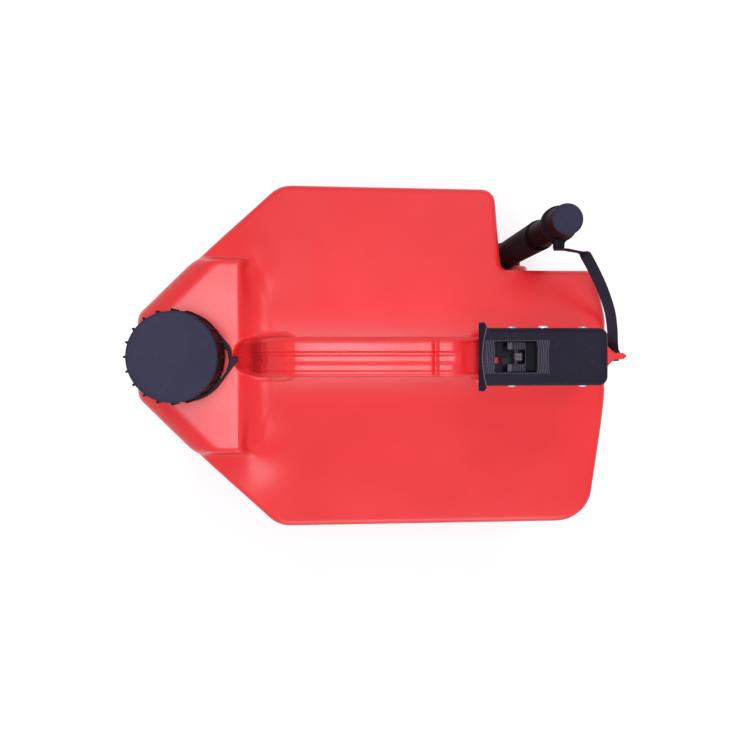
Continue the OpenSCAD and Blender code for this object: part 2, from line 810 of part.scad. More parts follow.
module spout_collar() {
    band = 8;
    color(black) translate([spout_x, spout_y, 0]) rotate_extrude()
        polygon([[hose_bore_r, hose_high_z], [collar_low_r, hose_high_z],
            [collar_low_r, hose_high_z + band], [collar_high_r, collar_high_z - 2],
            [collar_high_r - 1.5, collar_high_z], [hose_bore_r, collar_high_z]]);
}

module spout_nozzle() {
    groove_w = 2.2;
    color(black) translate([spout_x, spout_y, 0]) rotate_extrude()
        polygon([[nozzle_bore_r, nozzle_low_z], [nozzle_r, nozzle_low_z], [nozzle_r, bead_z],
            [bead_r, bead_z], [bead_r, bead_z + bead_t], [nozzle_r, bead_z + bead_t],
            [nozzle_r, nozzle_ring_z], [nozzle_groove_r, nozzle_ring_z],
            [nozzle_groove_r, nozzle_ring_z + groove_w], [nozzle_r, nozzle_ring_z + groove_w],
            [nozzle_r, nozzle_high_z], [nozzle_bore_r, nozzle_high_z]]);
}

module nozzle_seal() {
    color(rubber) translate([spout_x, spout_y, nozzle_ring_z + 1.1]) rotate_extrude()
        translate([nozzle_groove_r + ring_section_r + run_gap, 0]) circle(ring_section_r, $fn = 32);
}

module dust_cap() {
    color(black) difference() {
        union() {
            translate([spout_x, spout_y, 0]) rotate_extrude()
                polygon([[0, rim_low_z], [rim_r, rim_low_z], [rim_r, rim_low_z + rim_t - 1],
                    [rim_r - 1, rim_low_z + rim_t], [dust_r + 0.6, rim_low_z + rim_t],
                    [dust_r, dust_z - 1.5], [dust_r - 1.5, dust_z], [0, dust_z]]);
            translate([spout_x - lug_w / 2, lug_end_y, rim_low_z]) cube([lug_w, lug_l + 3, rim_t]);
        }
        translate([spout_x, spout_y, 0]) bar_z(dust_bore_r, rim_low_z - 1, dust_roof_z);
    }
}

// Flat strap: four corners at each place of its route
module tether_strap() {
    n = len(strap_route);
    points = [for (i = [0:n - 1])
        let (p = strap_route[i][0])
        let (ahead = strap_route[min(i + 1, n - 1)][0] - strap_route[max(i - 1, 0)][0])
        let (across = unit(strap_route[i][1] - unit(ahead) * (strap_route[i][1] * unit(ahead))))
        let (normal = cross(unit(ahead), across))
        let (side = across * strap_w / 2)
        let (face = normal * strap_t / 2)
        each [p + side + face, p - side + face, p - side - face, p + side - face]];
    walls = [for (i = [0:n - 2]) for (s = [0:3])
        let (t = (s + 1) % 4)
        each [[4 * i + s, 4 * i + t, 4 * i + 4 + t], [4 * i + s, 4 * i + 4 + t, 4 * i + 4 + s]]];
    color(black) polyhedron(points, concat([[3, 2, 1, 0], [for (s = [0:3]) 4 * n - 4 + s]], walls));
}

module tether_rivet() {
    near_y = -fin_half_t;
    far_y = fin_half_t + strap_t;
    color(black) translate([rivet_x, 0, rivet_z]) {
        bar_y(rivet_r, near_y - 1, far_y + 1);
        bar_y(rivet_head_r, near_y - rivet_head_t, near_y);
        bar_y(rivet_head_r, far_y, far_y + rivet_head_t);
    }
}

tank();
fill_cap();
cap_seal();
cap_lock_ring();
trigger_cover();
cover_screws();
trigger();
trigger_pin();
push_rod();
rod_head();
rod_cross_pin();
vent_gland();
vent_seal();
valve_body();
valve_cage();
valve_poppet();
poppet_seal();
valve_spring();
outlet_gasket();
outlet_nut();
spigot_o_ring();
spout_elbow();
elbow_clip();
spout_hose();
spout_collar();
spout_nozzle();
nozzle_seal();
dust_cap();
tether_strap();
tether_rivet();
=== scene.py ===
"""Looks of the gas can: moulded tank, cap, trigger, spout and tether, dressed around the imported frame.

Shapes are written in millimetres as signed distances or turned profiles, and become meshes in metres.
"""
import math

import bpy
import numpy as np
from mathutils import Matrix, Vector


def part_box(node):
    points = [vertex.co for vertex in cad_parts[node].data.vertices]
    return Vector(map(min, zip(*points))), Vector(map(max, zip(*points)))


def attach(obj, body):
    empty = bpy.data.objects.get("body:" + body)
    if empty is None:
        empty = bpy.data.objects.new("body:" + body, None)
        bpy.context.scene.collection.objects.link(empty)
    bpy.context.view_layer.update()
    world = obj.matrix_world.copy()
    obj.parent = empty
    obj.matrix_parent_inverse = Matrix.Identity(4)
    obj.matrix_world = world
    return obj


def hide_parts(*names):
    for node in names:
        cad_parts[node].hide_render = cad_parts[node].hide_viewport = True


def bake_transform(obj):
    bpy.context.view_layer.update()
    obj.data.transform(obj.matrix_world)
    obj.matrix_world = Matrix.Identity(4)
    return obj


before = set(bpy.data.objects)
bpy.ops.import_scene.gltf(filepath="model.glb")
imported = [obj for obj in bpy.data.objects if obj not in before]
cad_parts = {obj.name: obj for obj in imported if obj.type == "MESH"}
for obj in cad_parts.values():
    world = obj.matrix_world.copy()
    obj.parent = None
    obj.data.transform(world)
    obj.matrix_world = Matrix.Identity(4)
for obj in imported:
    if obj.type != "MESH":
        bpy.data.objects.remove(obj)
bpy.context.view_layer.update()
MM = 0.001


def node_mm(node):
    """Lowest and highest corner of a CAD node, in millimetres."""
    low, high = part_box(node)
    return np.array(low) / MM, np.array(high) / MM


# Places read from the frame
TANK_LOW, TANK_HIGH = node_mm("tank")
CAP_LOW, CAP_HIGH = node_mm("fill_cap")
COVER_LOW, COVER_HIGH = node_mm("trigger_cover")
ROD_LOW, ROD_HIGH = node_mm("push_rod")
HOSE_LOW, HOSE_HIGH = node_mm("spout_hose")
NUT_LOW, NUT_HIGH = node_mm("outlet_nut")
DUST_LOW, DUST_HIGH = node_mm("dust_cap")
CAP_X = (CAP_LOW[0] + CAP_HIGH[0]) / 2
ROD_X = (ROD_LOW[0] + ROD_HIGH[0]) / 2
SPOUT_X = (HOSE_LOW[0] + HOSE_HIGH[0]) / 2
SPOUT_Y = (HOSE_LOW[1] + HOSE_HIGH[1]) / 2
SPOUT_Z = (NUT_LOW[2] + NUT_HIGH[2]) / 2

# Tank sizes
TAIL_X = TANK_LOW[0]
NOSE_X = 200.0
HALF_W = TANK_HIGH[1]
FRONT_HALF_W = HALF_W - 3
TIP_HALF_W = 35.5
SHOULDER_X = -83.0
NOTCH_X = 112.0
NOTCH_Y = 75.0
EAVE_Z = 198.0
RIDGE_Z = 230.0
HALF_RIDGE = 20.0
PLATEAU_Z = 238.0
PLATEAU_FRONT_X = -115.0
PLATEAU_HALF_W = 80.5
FRONT_RUN = 1.25
CORNER_RUN = 0.55
FRONT_HALF_RUN = 78.0
SIDE_RISE = 47.0
SIDE_RUN = 10.0
FOOT_EASE = 9.0
FOOT_END_EASE = 4.0
FOOT_HALF_W = 74.0
FOOT_FADE = 6.0
SWELL = 8.0
SWELL_R = 24.0
SWELL_X = PLATEAU_FRONT_X + 5
SWELL_Y = PLATEAU_HALF_W + 3
SCOOP_REAR_X = -112.0
SCOOP_RUN = 23.5
SCOOP_SLOPE = 0.16
SCOOP_HALF_W = 77.0
FLANK_W = 13.0
FLANK_DROP = 13.0
HANDLE_Z = TANK_HIGH[2]
HANDLE_HALF_W = 15.5
POST_HALF_W = 19.3


# Signed distances, negative inside
def round_and(a, b, r):
    """Intersection with its edge rounded to radius r."""
    u = np.maximum(a + r, 0)
    v = np.maximum(b + r, 0)
    return np.minimum(-r, np.maximum(a, b)) + np.sqrt(u * u + v * v)


def round_or(a, b, r):
    """Union with a fillet of radius r."""
    return -round_and(-a, -b, r)


def soft_and(a, b, width):
    """Intersection of faces that meet at a blunt angle, eased over a width."""
    near = np.maximum(width - np.abs(a - b), 0)
    return np.maximum(a, b) + near * near / (4 * width)


def soft_or(a, b, width):
    """Union of faces that meet at a blunt angle, eased over a width."""
    return -soft_and(-a, -b, width)


def round_cut(a, b, r):
    """Solid a less solid b, with the edge rounded to radius r."""
    return round_and(a, -b, r)


def slab(v, low, high):
    return np.abs(v - (low + high) / 2) - (high - low) / 2


def disc(u, v, r):
    return np.sqrt(u * u + v * v) - r


def box(x, y, z, low, high, r):
    """Block between two corners, its edges rounded to radius r."""
    plan = round_and(slab(x, low[0], high[0]), slab(y, low[1], high[1]), r)
    return round_and(plan, slab(z, low[2], high[2]), r)


def rounded(corners, steps=8):
    """Outline of [x, y, radius] corners, anticlockwise, with each corner as an arc."""
    outline = []
    for i, (x, y, r) in enumerate(corners):
        at = np.array([x, y], float)
        u = at - np.array(corners[i - 1][:2])
        v = np.array(corners[(i + 1) % len(corners)][:2]) - at
        u = u / np.linalg.norm(u)
        v = v / np.linalg.norm(v)
        turn = math.atan2(u[0] * v[1] - u[1] * v[0], u @ v)
        start = at - u * r * math.tan(abs(turn) / 2)
        centre = start + math.copysign(r, turn) * np.array([-u[1], u[0]])
        w = start - centre
        for k in range(steps + 1):
            a = turn * k / steps
            c, s = math.cos(a), math.sin(a)
            outline.append(centre + [w[0] * c - w[1] * s, w[0] * s + w[1] * c])
    return np.array(outline)


def outline_distance(x, y, outline):
    """Signed distance from points to a closed outline."""
    best = np.full(np.broadcast(x, y).shape, 1e12)
    inside = np.zeros(best.shape, bool)
    for (ax, ay), (bx, by) in zip(outline, np.roll(outline, -1, axis=0)):
        ex, ey = bx - ax, by - ay
        length2 = ex * ex + ey * ey
        if length2 < 1e-9:
            continue
        px, py = x - ax, y - ay
        t = np.clip((px * ex + py * ey) / length2, 0, 1)
        best = np.minimum(best, (px - t * ex) ** 2 + (py - t * ey) ** 2)
        if ay != by:
            crosses = (ay <= y) != (by <= y)
            inside ^= crosses & (px < (y - ay) * ex / ey)
    return np.where(inside, -1, 1) * np.sqrt(best)


# Meshes
def ladder(*spans):
    """Grid lines from (start, end, step) spans that follow on."""
    lines = [np.arange(a, b, step) for a, b, step in spans]
    return np.concatenate(lines + [[spans[-1][1]]])


CORNERS = np.array([[i >> 2 & 1, i >> 1 & 1, i & 1] for i in range(8)])
CELL_EDGES = [(a, b) for a in range(8) for b in range(a + 1, 8) if bin(a ^ b).count("1") == 1]


def surface_net(field, xs, ys, zs):
    """Vertices and quads of the zero surface of a field on a grid with uneven steps."""
    values = field(xs[:, None, None], ys[None, :, None], zs[None, None, :])
    values = np.broadcast_to(values, (len(xs), len(ys), len(zs)))
    inside = values < 0
    nx, ny, nz = len(xs) - 1, len(ys) - 1, len(zs) - 1
    filled = np.zeros((nx, ny, nz), np.int8)
    for a, b, c in CORNERS:
        filled += inside[a: nx + a, b: ny + b, c: nz + c]
    active = (filled > 0) & (filled < 8)
    cells = np.argwhere(active)
    number = np.full(active.shape, -1, np.int64)
    number[active] = np.arange(len(cells))
    spots = cells[:, None, :] + CORNERS[None]
    at = np.stack([xs[spots[..., 0]], ys[spots[..., 1]], zs[spots[..., 2]]], -1)
    f = values[spots[..., 0], spots[..., 1], spots[..., 2]]
    total = np.zeros((len(cells), 3))
    count = np.zeros(len(cells))
    for a, b in CELL_EDGES:
        crosses = (f[:, a] < 0) != (f[:, b] < 0)
        t = np.where(crosses, f[:, a] / np.where(crosses, f[:, a] - f[:, b], 1), 0)[:, None]
        total += np.where(crosses[:, None], at[:, a] + t * (at[:, b] - at[:, a]), 0)
        count += crosses
    points = total / count[:, None]
    quads = []
    for axis in range(3):
        side = [(axis + 1) % 3, (axis + 2) % 3]
        head = [slice(None)] * 3
        tail = [slice(None)] * 3
        head[axis] = slice(None, -1)
        tail[axis] = slice(1, None)
        change = np.argwhere(inside[tuple(head)] != inside[tuple(tail)])
        for s in side:
            change = change[(change[:, s] > 0) & (change[:, s] < active.shape[s])]
        ring = []
        for du, dv in ((-1, -1), (0, -1), (0, 0), (-1, 0)):
            cell = change.copy()
            cell[:, side[0]] += du
            cell[:, side[1]] += dv
            ring.append(number[tuple(cell.T)])
        ring = np.stack(ring, 1)
        leaving = inside[tuple(change.T)]
        quads.append(np.where(leaving[:, None], ring, ring[:, ::-1]))
    return points, np.concatenate(quads)


def spread(points, quads):
    """Moves each point that crowds a neighbour to the middle of its neighbours."""
    starts = np.concatenate([quads.ravel(), np.roll(quads, -1, axis=1).ravel()])
    ends = np.roll(starts, len(starts) // 2)
    lengths = np.linalg.norm(points[starts] - points[ends], axis=1)
    n = len(points)
    count = np.maximum(np.bincount(starts, minlength=n), 1)
    middle = np.stack([np.bincount(starts, points[ends, k], n) for k in range(3)], 1) / count[:, None]
    shortest = np.full(n, np.inf)
    np.minimum.at(shortest, starts, lengths)
    crowded = shortest < 0.3 * np.bincount(starts, lengths, n) / count
    return np.where(crowded[:, None], middle, points)


def settle(field, points, steps=3, reach=0.2):
    """Moves the points that lie off the zero surface of a field onto it."""
    points = points.copy()
    off = np.arange(len(points))
    for _ in range(steps):
        here = field(*points[off].T)
        far = np.abs(here) > 0.01
        off, here = off[far], here[far]
        x, y, z = points[off].T
        slope = np.stack([
            field(x + reach, y, z) - field(x - reach, y, z),
            field(x, y + reach, z) - field(x, y - reach, z),
            field(x, y, z + reach) - field(x, y, z - reach),
        ], -1) / (2 * reach)
        steep = np.maximum((slope ** 2).sum(-1), 0.05)
        points[off] -= np.clip(here / steep, -1.5, 1.5)[:, None] * slope
    return points


def mesh_object(name, points_mm, faces, smooth_angle=None):
    """Object from points in millimetres; edges sharper than the angle in degrees stay crisp."""
    mesh = bpy.data.meshes.new(name)
    mesh.from_pydata((np.asarray(points_mm) * MM).tolist(), [], [list(map(int, f)) for f in faces])
    mesh.validate()
    mesh.shade_smooth()
    if smooth_angle:
        mesh.set_sharp_from_angle(angle=math.radians(smooth_angle))
    obj = bpy.data.objects.new(name, mesh)
    bpy.context.scene.collection.objects.link(obj)
    return obj


def solid(name, field, xs, ys, zs):
    """Piece shaped by a signed distance."""
    points, quads = surface_net(field, xs, ys, zs)
    points = spread(settle(field, points), quads)
    return mesh_object(name, settle(field, points), quads)


def even_grid(low, high, step):
    """Grid lines over a box, one step past it."""
    return [np.arange(a - 1.5 * step, b + 2.5 * step, step) for a, b in zip(low, high)]


# Radius that stands for the axis itself in a turned profile
AXIS_R = 0.001


def turned(name, profile, centre, along_y=False, segments=96, smooth_angle=40):
    """Closed profile of (radius, height), anticlockwise, turned about a vertical axis or one along Y."""
    angles = np.linspace(0, 2 * math.pi, segments, endpoint=False)
    x0, y0, z0 = centre
    points = [(x0 + r * math.cos(a), y0 + r * math.sin(a), z0 + z) for r, z in profile for a in angles]
    if along_y:
        points = [(x, y0 + z - z0, z0 - y + y0) for x, y, z in points]
    n = len(profile)
    faces = []
    for i in range(n):
        j = (i + 1) % n
        for k in range(segments):
            m = (k + 1) % segments
            faces.append((i * segments + k, i * segments + m, j * segments + m, j * segments + k))
    return mesh_object(name, points, faces, smooth_angle)


def swept(name, rings):
    """Closed tube through rings of points, each anticlockwise when looked at from further along."""
    n = len(rings[0])
    faces = []
    for i in range(len(rings) - 1):
        for k in range(n):
            m = (k + 1) % n
            faces.append((i * n + k, i * n + m, (i + 1) * n + m, (i + 1) * n + k))
    last = (len(rings) - 1) * n
    faces.append(tuple(reversed(range(n))))
    faces.append(tuple(last + k for k in range(n)))
    return mesh_object(name, np.concatenate(rings), faces, 50)


# Tank
PLAN = rounded([
    (TAIL_X, -TIP_HALF_W, 14),
    (SHOULDER_X - 3.2, -HALF_W, 26),
    (NOSE_X - 8, -FRONT_HALF_W, 30),
    (NOSE_X - 0.5, -34, 60),
    (NOSE_X - 0.5, 34, 60),
    (NOSE_X - 9, NOTCH_Y, 8),
    (NOTCH_X - 2.5, NOTCH_Y, 8),
    (NOTCH_X - 5, FRONT_HALF_W, 12),
    (SHOULDER_X - 1.5, HALF_W, 26),
    (TAIL_X, TIP_HALF_W, 14),
])
GAP_REAR_X = -72.0
GAP_FRONT_X = 84.0
GRIP_DEPTH = 27.0
DIP_X = 57.0
CROSS_GROOVE_X = 42.3
CROSS_GROOVE_HALF_W = 2.9
CROSS_GROOVE_DEPTH = 2.2
# Section of the handle's top: place across and depth below the rails
RAIL_SECTION = [
    (-11.4, 0), (-10.8, 0.8), (-10.2, 0), (-6.5, 0), (-3.3, 1.4), (0.5, 1.4),
    (1.0, 2.1), (1.6, 0.9), (3.1, 0.9), (3.7, 1.8), (4.4, 0),
]
GRIP_SIDE = rounded([
    (-104, 205, 1),
    (100, 205, 1),
    (100, HANDLE_Z - 11, 1),
    (COVER_LOW[0] + 7, HANDLE_Z - 11, 6),
    (DIP_X, HANDLE_Z, 14),
    (-99, HANDLE_Z, 44),
])
HAND_GAP = rounded([
    (GAP_REAR_X, 190, 1),
    (GAP_FRONT_X, 190, 1),
    (GAP_FRONT_X, HANDLE_Z - GRIP_DEPTH, 15),
    (GAP_REAR_X, HANDLE_Z - GRIP_DEPTH, 15),
])
POST_FRONT_X = COVER_HIGH[0] - 2.6
POST_SIDE = rounded([
    (GAP_FRONT_X, 205, 1),
    (POST_FRONT_X + 11, 205, 1),
    (POST_FRONT_X, 283, 2),
    (POST_FRONT_X, 299, 3),
    (GAP_FRONT_X, 299, 3),
])
RIVET_LOW, RIVET_HIGH = node_mm("tether_rivet")
RIVET_X = (RIVET_LOW[0] + RIVET_HIGH[0]) / 2
RIVET_Z = (RIVET_LOW[2] + RIVET_HIGH[2]) / 2
FIN_HALF_T = 2.8
FIN = rounded([
    (NOSE_X - 3, -12.5, 1),
    (RIVET_X - 3.9, -FIN_HALF_T, 3),
    (RIVET_X + 3.9, -FIN_HALF_T, 2),
    (TANK_HIGH[0], -0.9, 0.6),
    (TANK_HIGH[0], 0.9, 0.6),
    (RIVET_X + 3.9, FIN_HALF_T, 2),
    (RIVET_X - 3.9, FIN_HALF_T, 3),
    (NOSE_X - 3, 12.5, 1),
])
FIN_Z = (202.0, 226.0)
NECK_R = 32.0
NECK_BORE_R = 27.0
NECK_Z = 268.0
WEB_REAR_X = CAP_X + 43
WEB_SLOPE = 0.75
WEB_LEAN = 1 / math.hypot(1, WEB_SLOPE)
WEB_RISE = 14.0
SHROUD_R = 22.4
SHROUD_BORE_R = 19.4
SHROUD_END_Y = 94.5
SHROUD_STEP = 5.0
SHROUD_STEP_X = SPOUT_X + 4
SHROUD_STEP_RUN = 6.0
POCKET_X = (ROD_X - 14, ROD_X + 25.5)
POCKET_HALF_W = 13.3
POCKET_LOW_Z = 288.0
OVER_HANDLE_Z = 320.0
ROD_HOLE_R = 7.0
OUTLET_HOLE_R = 13.1
PIN_HOLE_R = 2.05


def sloped(out, up, rise, run):
    """Wall that falls by rise over run, from the way out from its top edge and the height above it."""
    return (out * rise + up * run) / math.hypot(rise, run)


def arc(y, half_w):
    """Arc across the can: 1 along the ridge, 0 from the half width on."""
    out = np.clip((np.abs(y) - HALF_RIDGE) / (half_w - HALF_RIDGE), 0, 1)
    return 1 - out * out


def roof_field(x, y, z):
    """Two slopes with a flat ridge; the raised flat at the rear with its hand scoop and swollen corners."""
    side = np.abs(y)
    slope = sloped(side - HALF_RIDGE, z - RIDGE_Z, RIDGE_Z - EAVE_Z, HALF_W - HALF_RIDGE)
    roof = soft_and(z - RIDGE_Z, slope, 5)
    scoop_run = SCOOP_RUN * arc(y, SCOOP_HALF_W)
    roof = roof + SCOOP_SLOPE * np.clip(SCOOP_REAR_X + scoop_run - x, 0, scoop_run)
    away = ((x - SWELL_X) / SWELL_R) ** 2 + ((side - SWELL_Y) / SWELL_R) ** 2
    roof = roof - SWELL * np.exp(-away)
    above = z - PLATEAU_Z
    raised = soft_and(above, sloped(side - PLATEAU_HALF_W, above, SIDE_RISE, SIDE_RUN), 2.5)
    taper = np.clip((side - HALF_RIDGE) / (FRONT_HALF_RUN - HALF_RIDGE), 0, 1)
    wall_run = FRONT_RUN + (CORNER_RUN - FRONT_RUN) * taper
    wall = (x - PLATEAU_FRONT_X + above * wall_run) / np.sqrt(1 + wall_run * wall_run)
    ease = FOOT_EASE + (FOOT_END_EASE - FOOT_EASE) * np.clip((side - FOOT_HALF_W) / FOOT_FADE, 0, 1)
    return soft_or(roof, soft_and(raised, wall, 2.5), ease)


def grip_field(x, y, z):
    """Handle with two rails, sunk strips between them and a cross groove."""
    across, depth = zip(*RAIL_SECTION)
    lower = np.interp(y, across, depth) * np.clip((DIP_X + 5 - x) / 8, 0, 1)
    groove = np.clip(1 - np.abs(x - CROSS_GROOVE_X) / CROSS_GROOVE_HALF_W, 0, 1)
    lower = lower + CROSS_GROOVE_DEPTH * groove
    rounding = np.where(y > 0, 5.5, 3.0)
    grip = round_and(outline_distance(x, z, GRIP_SIDE) + lower, np.abs(y) - HANDLE_HALF_W, rounding)
    return round_cut(grip, outline_distance(x, z, HAND_GAP), 7)


def web_field(x, y, z):
    """Sloping web between the raised flat and the handle, with a fine mould line on its crest."""
    half_w = HANDLE_HALF_W - 0.5
    plan = disc(np.maximum(WEB_REAR_X + half_w - x, 0) + np.maximum(x - GAP_REAR_X + 12, 0), y, half_w)
    crest = PLATEAU_Z + np.minimum(WEB_SLOPE * (x - WEB_REAR_X), WEB_RISE)
    web = round_and(plan, np.maximum((z - crest) * WEB_LEAN, 200 - z), 6)
    line = np.maximum(np.abs(y - 1) - 0.7, slab(x, WEB_REAR_X + 2, -96))
    line = np.maximum(line, slab(z - crest, -8, 1.1) * WEB_LEAN)
    web = round_or(web, line, 0.5)
    return round_cut(web, np.maximum(lock_plan(x - CAP_X, y) - WEB_GAP, PLATEAU_Z - z), 0.6)


def tank_field(x, y, z):
    """Whole tank before its bores: body, web, handle, post, fin, shroud and neck."""
    plan = outline_distance(x, y, PLAN)
    flank = sloped(plan, z - PLATEAU_Z + FLANK_DROP, FLANK_DROP, FLANK_W)
    body = round_and(plan, soft_and(roof_field(x, y, z), flank, 5), 5)
    body = round_and(body, -z, 10)
    body = round_or(body, web_field(x, y, z), 2.5)
    body = round_or(body, grip_field(x, y, z), 6)
    post = round_and(outline_distance(x, z, POST_SIDE), np.abs(y) - POST_HALF_W, 5)
    body = round_or(body, post, 5)
    fin = round_and(outline_distance(x, y, FIN), slab(z, *FIN_Z), 1.5)
    body = round_or(body, fin, 2)
    around = disc(x - SPOUT_X, z - SPOUT_Z, SHROUD_R)
    end_y = SHROUD_END_Y - SHROUD_STEP * np.clip((SHROUD_STEP_X - x) / SHROUD_STEP_RUN, 0, 1)
    shroud = round_and(around, np.maximum(NOTCH_Y - 10 - y, y - end_y), 2.5)
    body = round_or(body, shroud, 3)
    neck = round_and(disc(x - CAP_X, y, NECK_R), z - NECK_Z, 1)
    neck = np.maximum(neck, PLATEAU_Z - 8 - z)
    return round_or(body, neck, 3)


def tank_cuts(x, y, z):
    """Bores and pockets of the tank: neck, trigger pocket, rod, outlet and rivet."""
    neck = np.maximum(disc(x - CAP_X, y, NECK_BORE_R), 205 - z)
    pocket_low = (POCKET_X[0], -POCKET_HALF_W, POCKET_LOW_Z)
    pocket = box(x, y, z, pocket_low, (POCKET_X[1], POCKET_HALF_W, OVER_HANDLE_Z), 1)
    slit_low = (ROD_X - 22, SLIT_Y[0] - 1, POCKET_LOW_Z - 6)
    slit = box(x, y, z, slit_low, (ROD_X - 9, SLIT_Y[1] + 1, OVER_HANDLE_Z), 1)
    pocket = np.minimum(pocket, slit)
    rod = np.maximum(disc(x - ROD_X, y, ROD_HOLE_R), 270 - z)
    from_outlet = disc(x - SPOUT_X, z - SPOUT_Z, 0)
    outlet = np.maximum(from_outlet - OUTLET_HOLE_R, slab(y, NOTCH_Y - 20, NOTCH_Y + 10))
    outlet = np.minimum(outlet, np.maximum(from_outlet - SHROUD_BORE_R, slab(y, NUT_LOW[1], 120)))
    rivet = np.maximum(disc(x - RIVET_X, z - RIVET_Z, PIN_HOLE_R), np.abs(y) - 9)
    return np.minimum(np.minimum(np.minimum(neck, pocket), np.minimum(rod, outlet)), rivet)


def make_tank():
    def whole(x, y, z):
        return round_cut(tank_field(x, y, z), tank_cuts(x, y, z), 0.4)

    xs = ladder(
        (-208, -124, 2.2), (-124, -90, 0.9), (-90, 30, 2.4),
        (30, 64, 1.0), (64, 192, 2.0), (192, 220, 0.8),
    )
    ys = ladder((-156, -24, 2.4), (-24, -12, 0.8), (-12, 5, 0.35), (5, 24, 0.8), (24, 156, 2.4))
    zs = ladder(
        (-3, 14, 1.5), (14, 26, 4), (26, 76, 2), (76, 186, 5),
        (186, 242, 1.3), (242, 296, 1.7), (296, 307, 0.45),
    )
    tank = solid("tank_moulding", whole, xs, ys, zs)
    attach(tank, "can")
    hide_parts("tank")
    return tank


# Fill cap and its lock ring
CAP_R = 36.6
CAP_LUGS = 20
LUG_OUT = CAP_HIGH[0] - CAP_X - CAP_R
LUG_HALF_W = 0.9
CAP_WALL = 2.8
RING_LOW, RING_HIGH = node_mm("cap_lock_ring")
RING_R = 38.0
RING_BORE_R = 34.8
LOOP_X = 42.3
TAB_TIP = 47.4
WEB_GAP = 0.8
LOCK_PLAN = rounded([
    (-RING_R, RING_R, RING_R - 1),
    (-RING_R, -RING_R, RING_R - 1),
    (22, -RING_R, RING_R - 2),
    (TAB_TIP, -3.3, 1.2),
    (TAB_TIP - 0.5, -0.3, 0.8),
    (LOOP_X, 0.1, 0.6),
    (LOOP_X, 7, 8),
    (17.4, RING_R, RING_R - 2),
])
LOCK_SLOT = rounded([
    (28, -14, 1),
    (33.4, -19.2, 1),
    (38, -12.4, 8),
    (40.4, -4.5, 10),
    (38.8, 4.8, 2),
    (33, 9, 1),
    (28, 5, 1),
])


def fill_cap_field(x, y, z):
    """Cap with a slightly sunk disc, lugs round its side and a band at its foot."""
    u = x - CAP_X
    r = np.sqrt(u * u + y * y)
    sunk = 0.6 * np.clip(1 - (r / 33) ** 2, 0, 1)
    shell = round_and(r - CAP_R, np.maximum(CAP_LOW[2] - z, z - CAP_HIGH[2] + sunk), 2.4)
    step = 2 * math.pi / CAP_LUGS
    angle = np.arctan2(y, u)
    along = (angle - step * np.round(angle / step)) * r
    lug_low = (CAP_R - 3, -LUG_HALF_W, CAP_LOW[2] + 4)
    lug = box(r, along, z, lug_low, (CAP_R + LUG_OUT, LUG_HALF_W, CAP_HIGH[2] - 2.2), 0.6)
    shell = round_or(shell, lug, 0.7)
    band = box(r, 0, z, (CAP_R - 3, -9, CAP_LOW[2]), (CAP_R + 0.9, 9, CAP_LOW[2] + 5), 0.5)
    shell = round_or(shell, band, 0.6)
    bore = np.maximum(r - CAP_R + CAP_WALL, z - NECK_Z - 2.5)
    return round_cut(shell, bore, 0.4)


def make_fill_cap():
    cap = solid("fill_cap_moulding", fill_cap_field, *even_grid(CAP_LOW, CAP_HIGH, 0.62))
    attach(cap, "fill_cap")
    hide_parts("fill_cap")
    return cap


def lock_plan(u, y):
    """Outer edge of the lock ring with its release tab, in plan from the cap's axis."""
    return outline_distance(u, y, LOCK_PLAN)


def make_lock_ring():
    def field(x, y, z):
        u = x - CAP_X
        bore = np.minimum(disc(u, y, RING_BORE_R), outline_distance(u, y, LOCK_SLOT))
        return round_and(round_cut(lock_plan(u, y), bore, 0.3), slab(z, RING_LOW[2], RING_HIGH[2]), 0.7)

    ring = solid("lock_ring_moulding", field, *even_grid(RING_LOW, RING_HIGH, 0.55))
    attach(ring, "can")
    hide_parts("cap_lock_ring")
    return ring


# Trigger cover with its screws
COVER_REAR_X = COVER_LOW[0]
COVER_FRONT_X = COVER_HIGH[0] + 2.5
COVER_HALF_W = 22.0
COVER_LOW_Z = COVER_LOW[2]
COVER_Z = 313.0
COVER_WALL = 2.5
COVER_CORNER_R = 7.0
WINDOW = (ROD_X - 18.5, ROD_X + 13.5)
WINDOW_HALF = 11.7
RIB_PITCH = 1.28
RIB_END_X = WINDOW[1] + 12.2
LIP = 4.2
# Dark plate with its slit, and the tray below it: sheets of painted shade inside the thumb window.
SHADE_PLATE_Z = (300.0, 302.0)
SLIT_Y = (-5.2, -0.4)
SHADE_TRAY_X = (ROD_X - 13.8, ROD_X + 25.3)
SHADE_TRAY_Z = 288.2
SHADE_TRAY_T = 1.4
SHADE_TRAY_HALF_W = 13.1
SHADE_TRAY_HOLE_R = 10.05
BOW = 3.0
SCREWS_LOW, SCREWS_HIGH = node_mm("cover_screws")
SCREW_R = 3.4
SCREW_REACH = 9.5
SCREW_RISE = 1.9
SCREW_XS = (SCREWS_LOW[0] + SCREW_R, SCREWS_HIGH[0] - SCREW_R)
SCREW_Z = (SCREWS_LOW[2] + SCREWS_HIGH[2]) / 2
TRIGGER_LOW, TRIGGER_HIGH = node_mm("trigger")
TIP_X = TRIGGER_LOW[0]
SLOT_HALF = 5.6
PIN_X = ROD_X + 19.5
PIN_Z = 305.5
PAD_Z = PIN_Z + 3.5


def ribs(x, pitch, start, end):
    """Thin ridges across X, half a pitch wide, as a height from 0 to 1."""
    wave = np.abs(((x - start) / pitch) % 1 - 0.5) * 2
    height = np.clip(1.9 - 2.6 * (1 - wave), 0, 1)
    return np.where((x > start) & (x < end), height, 0)


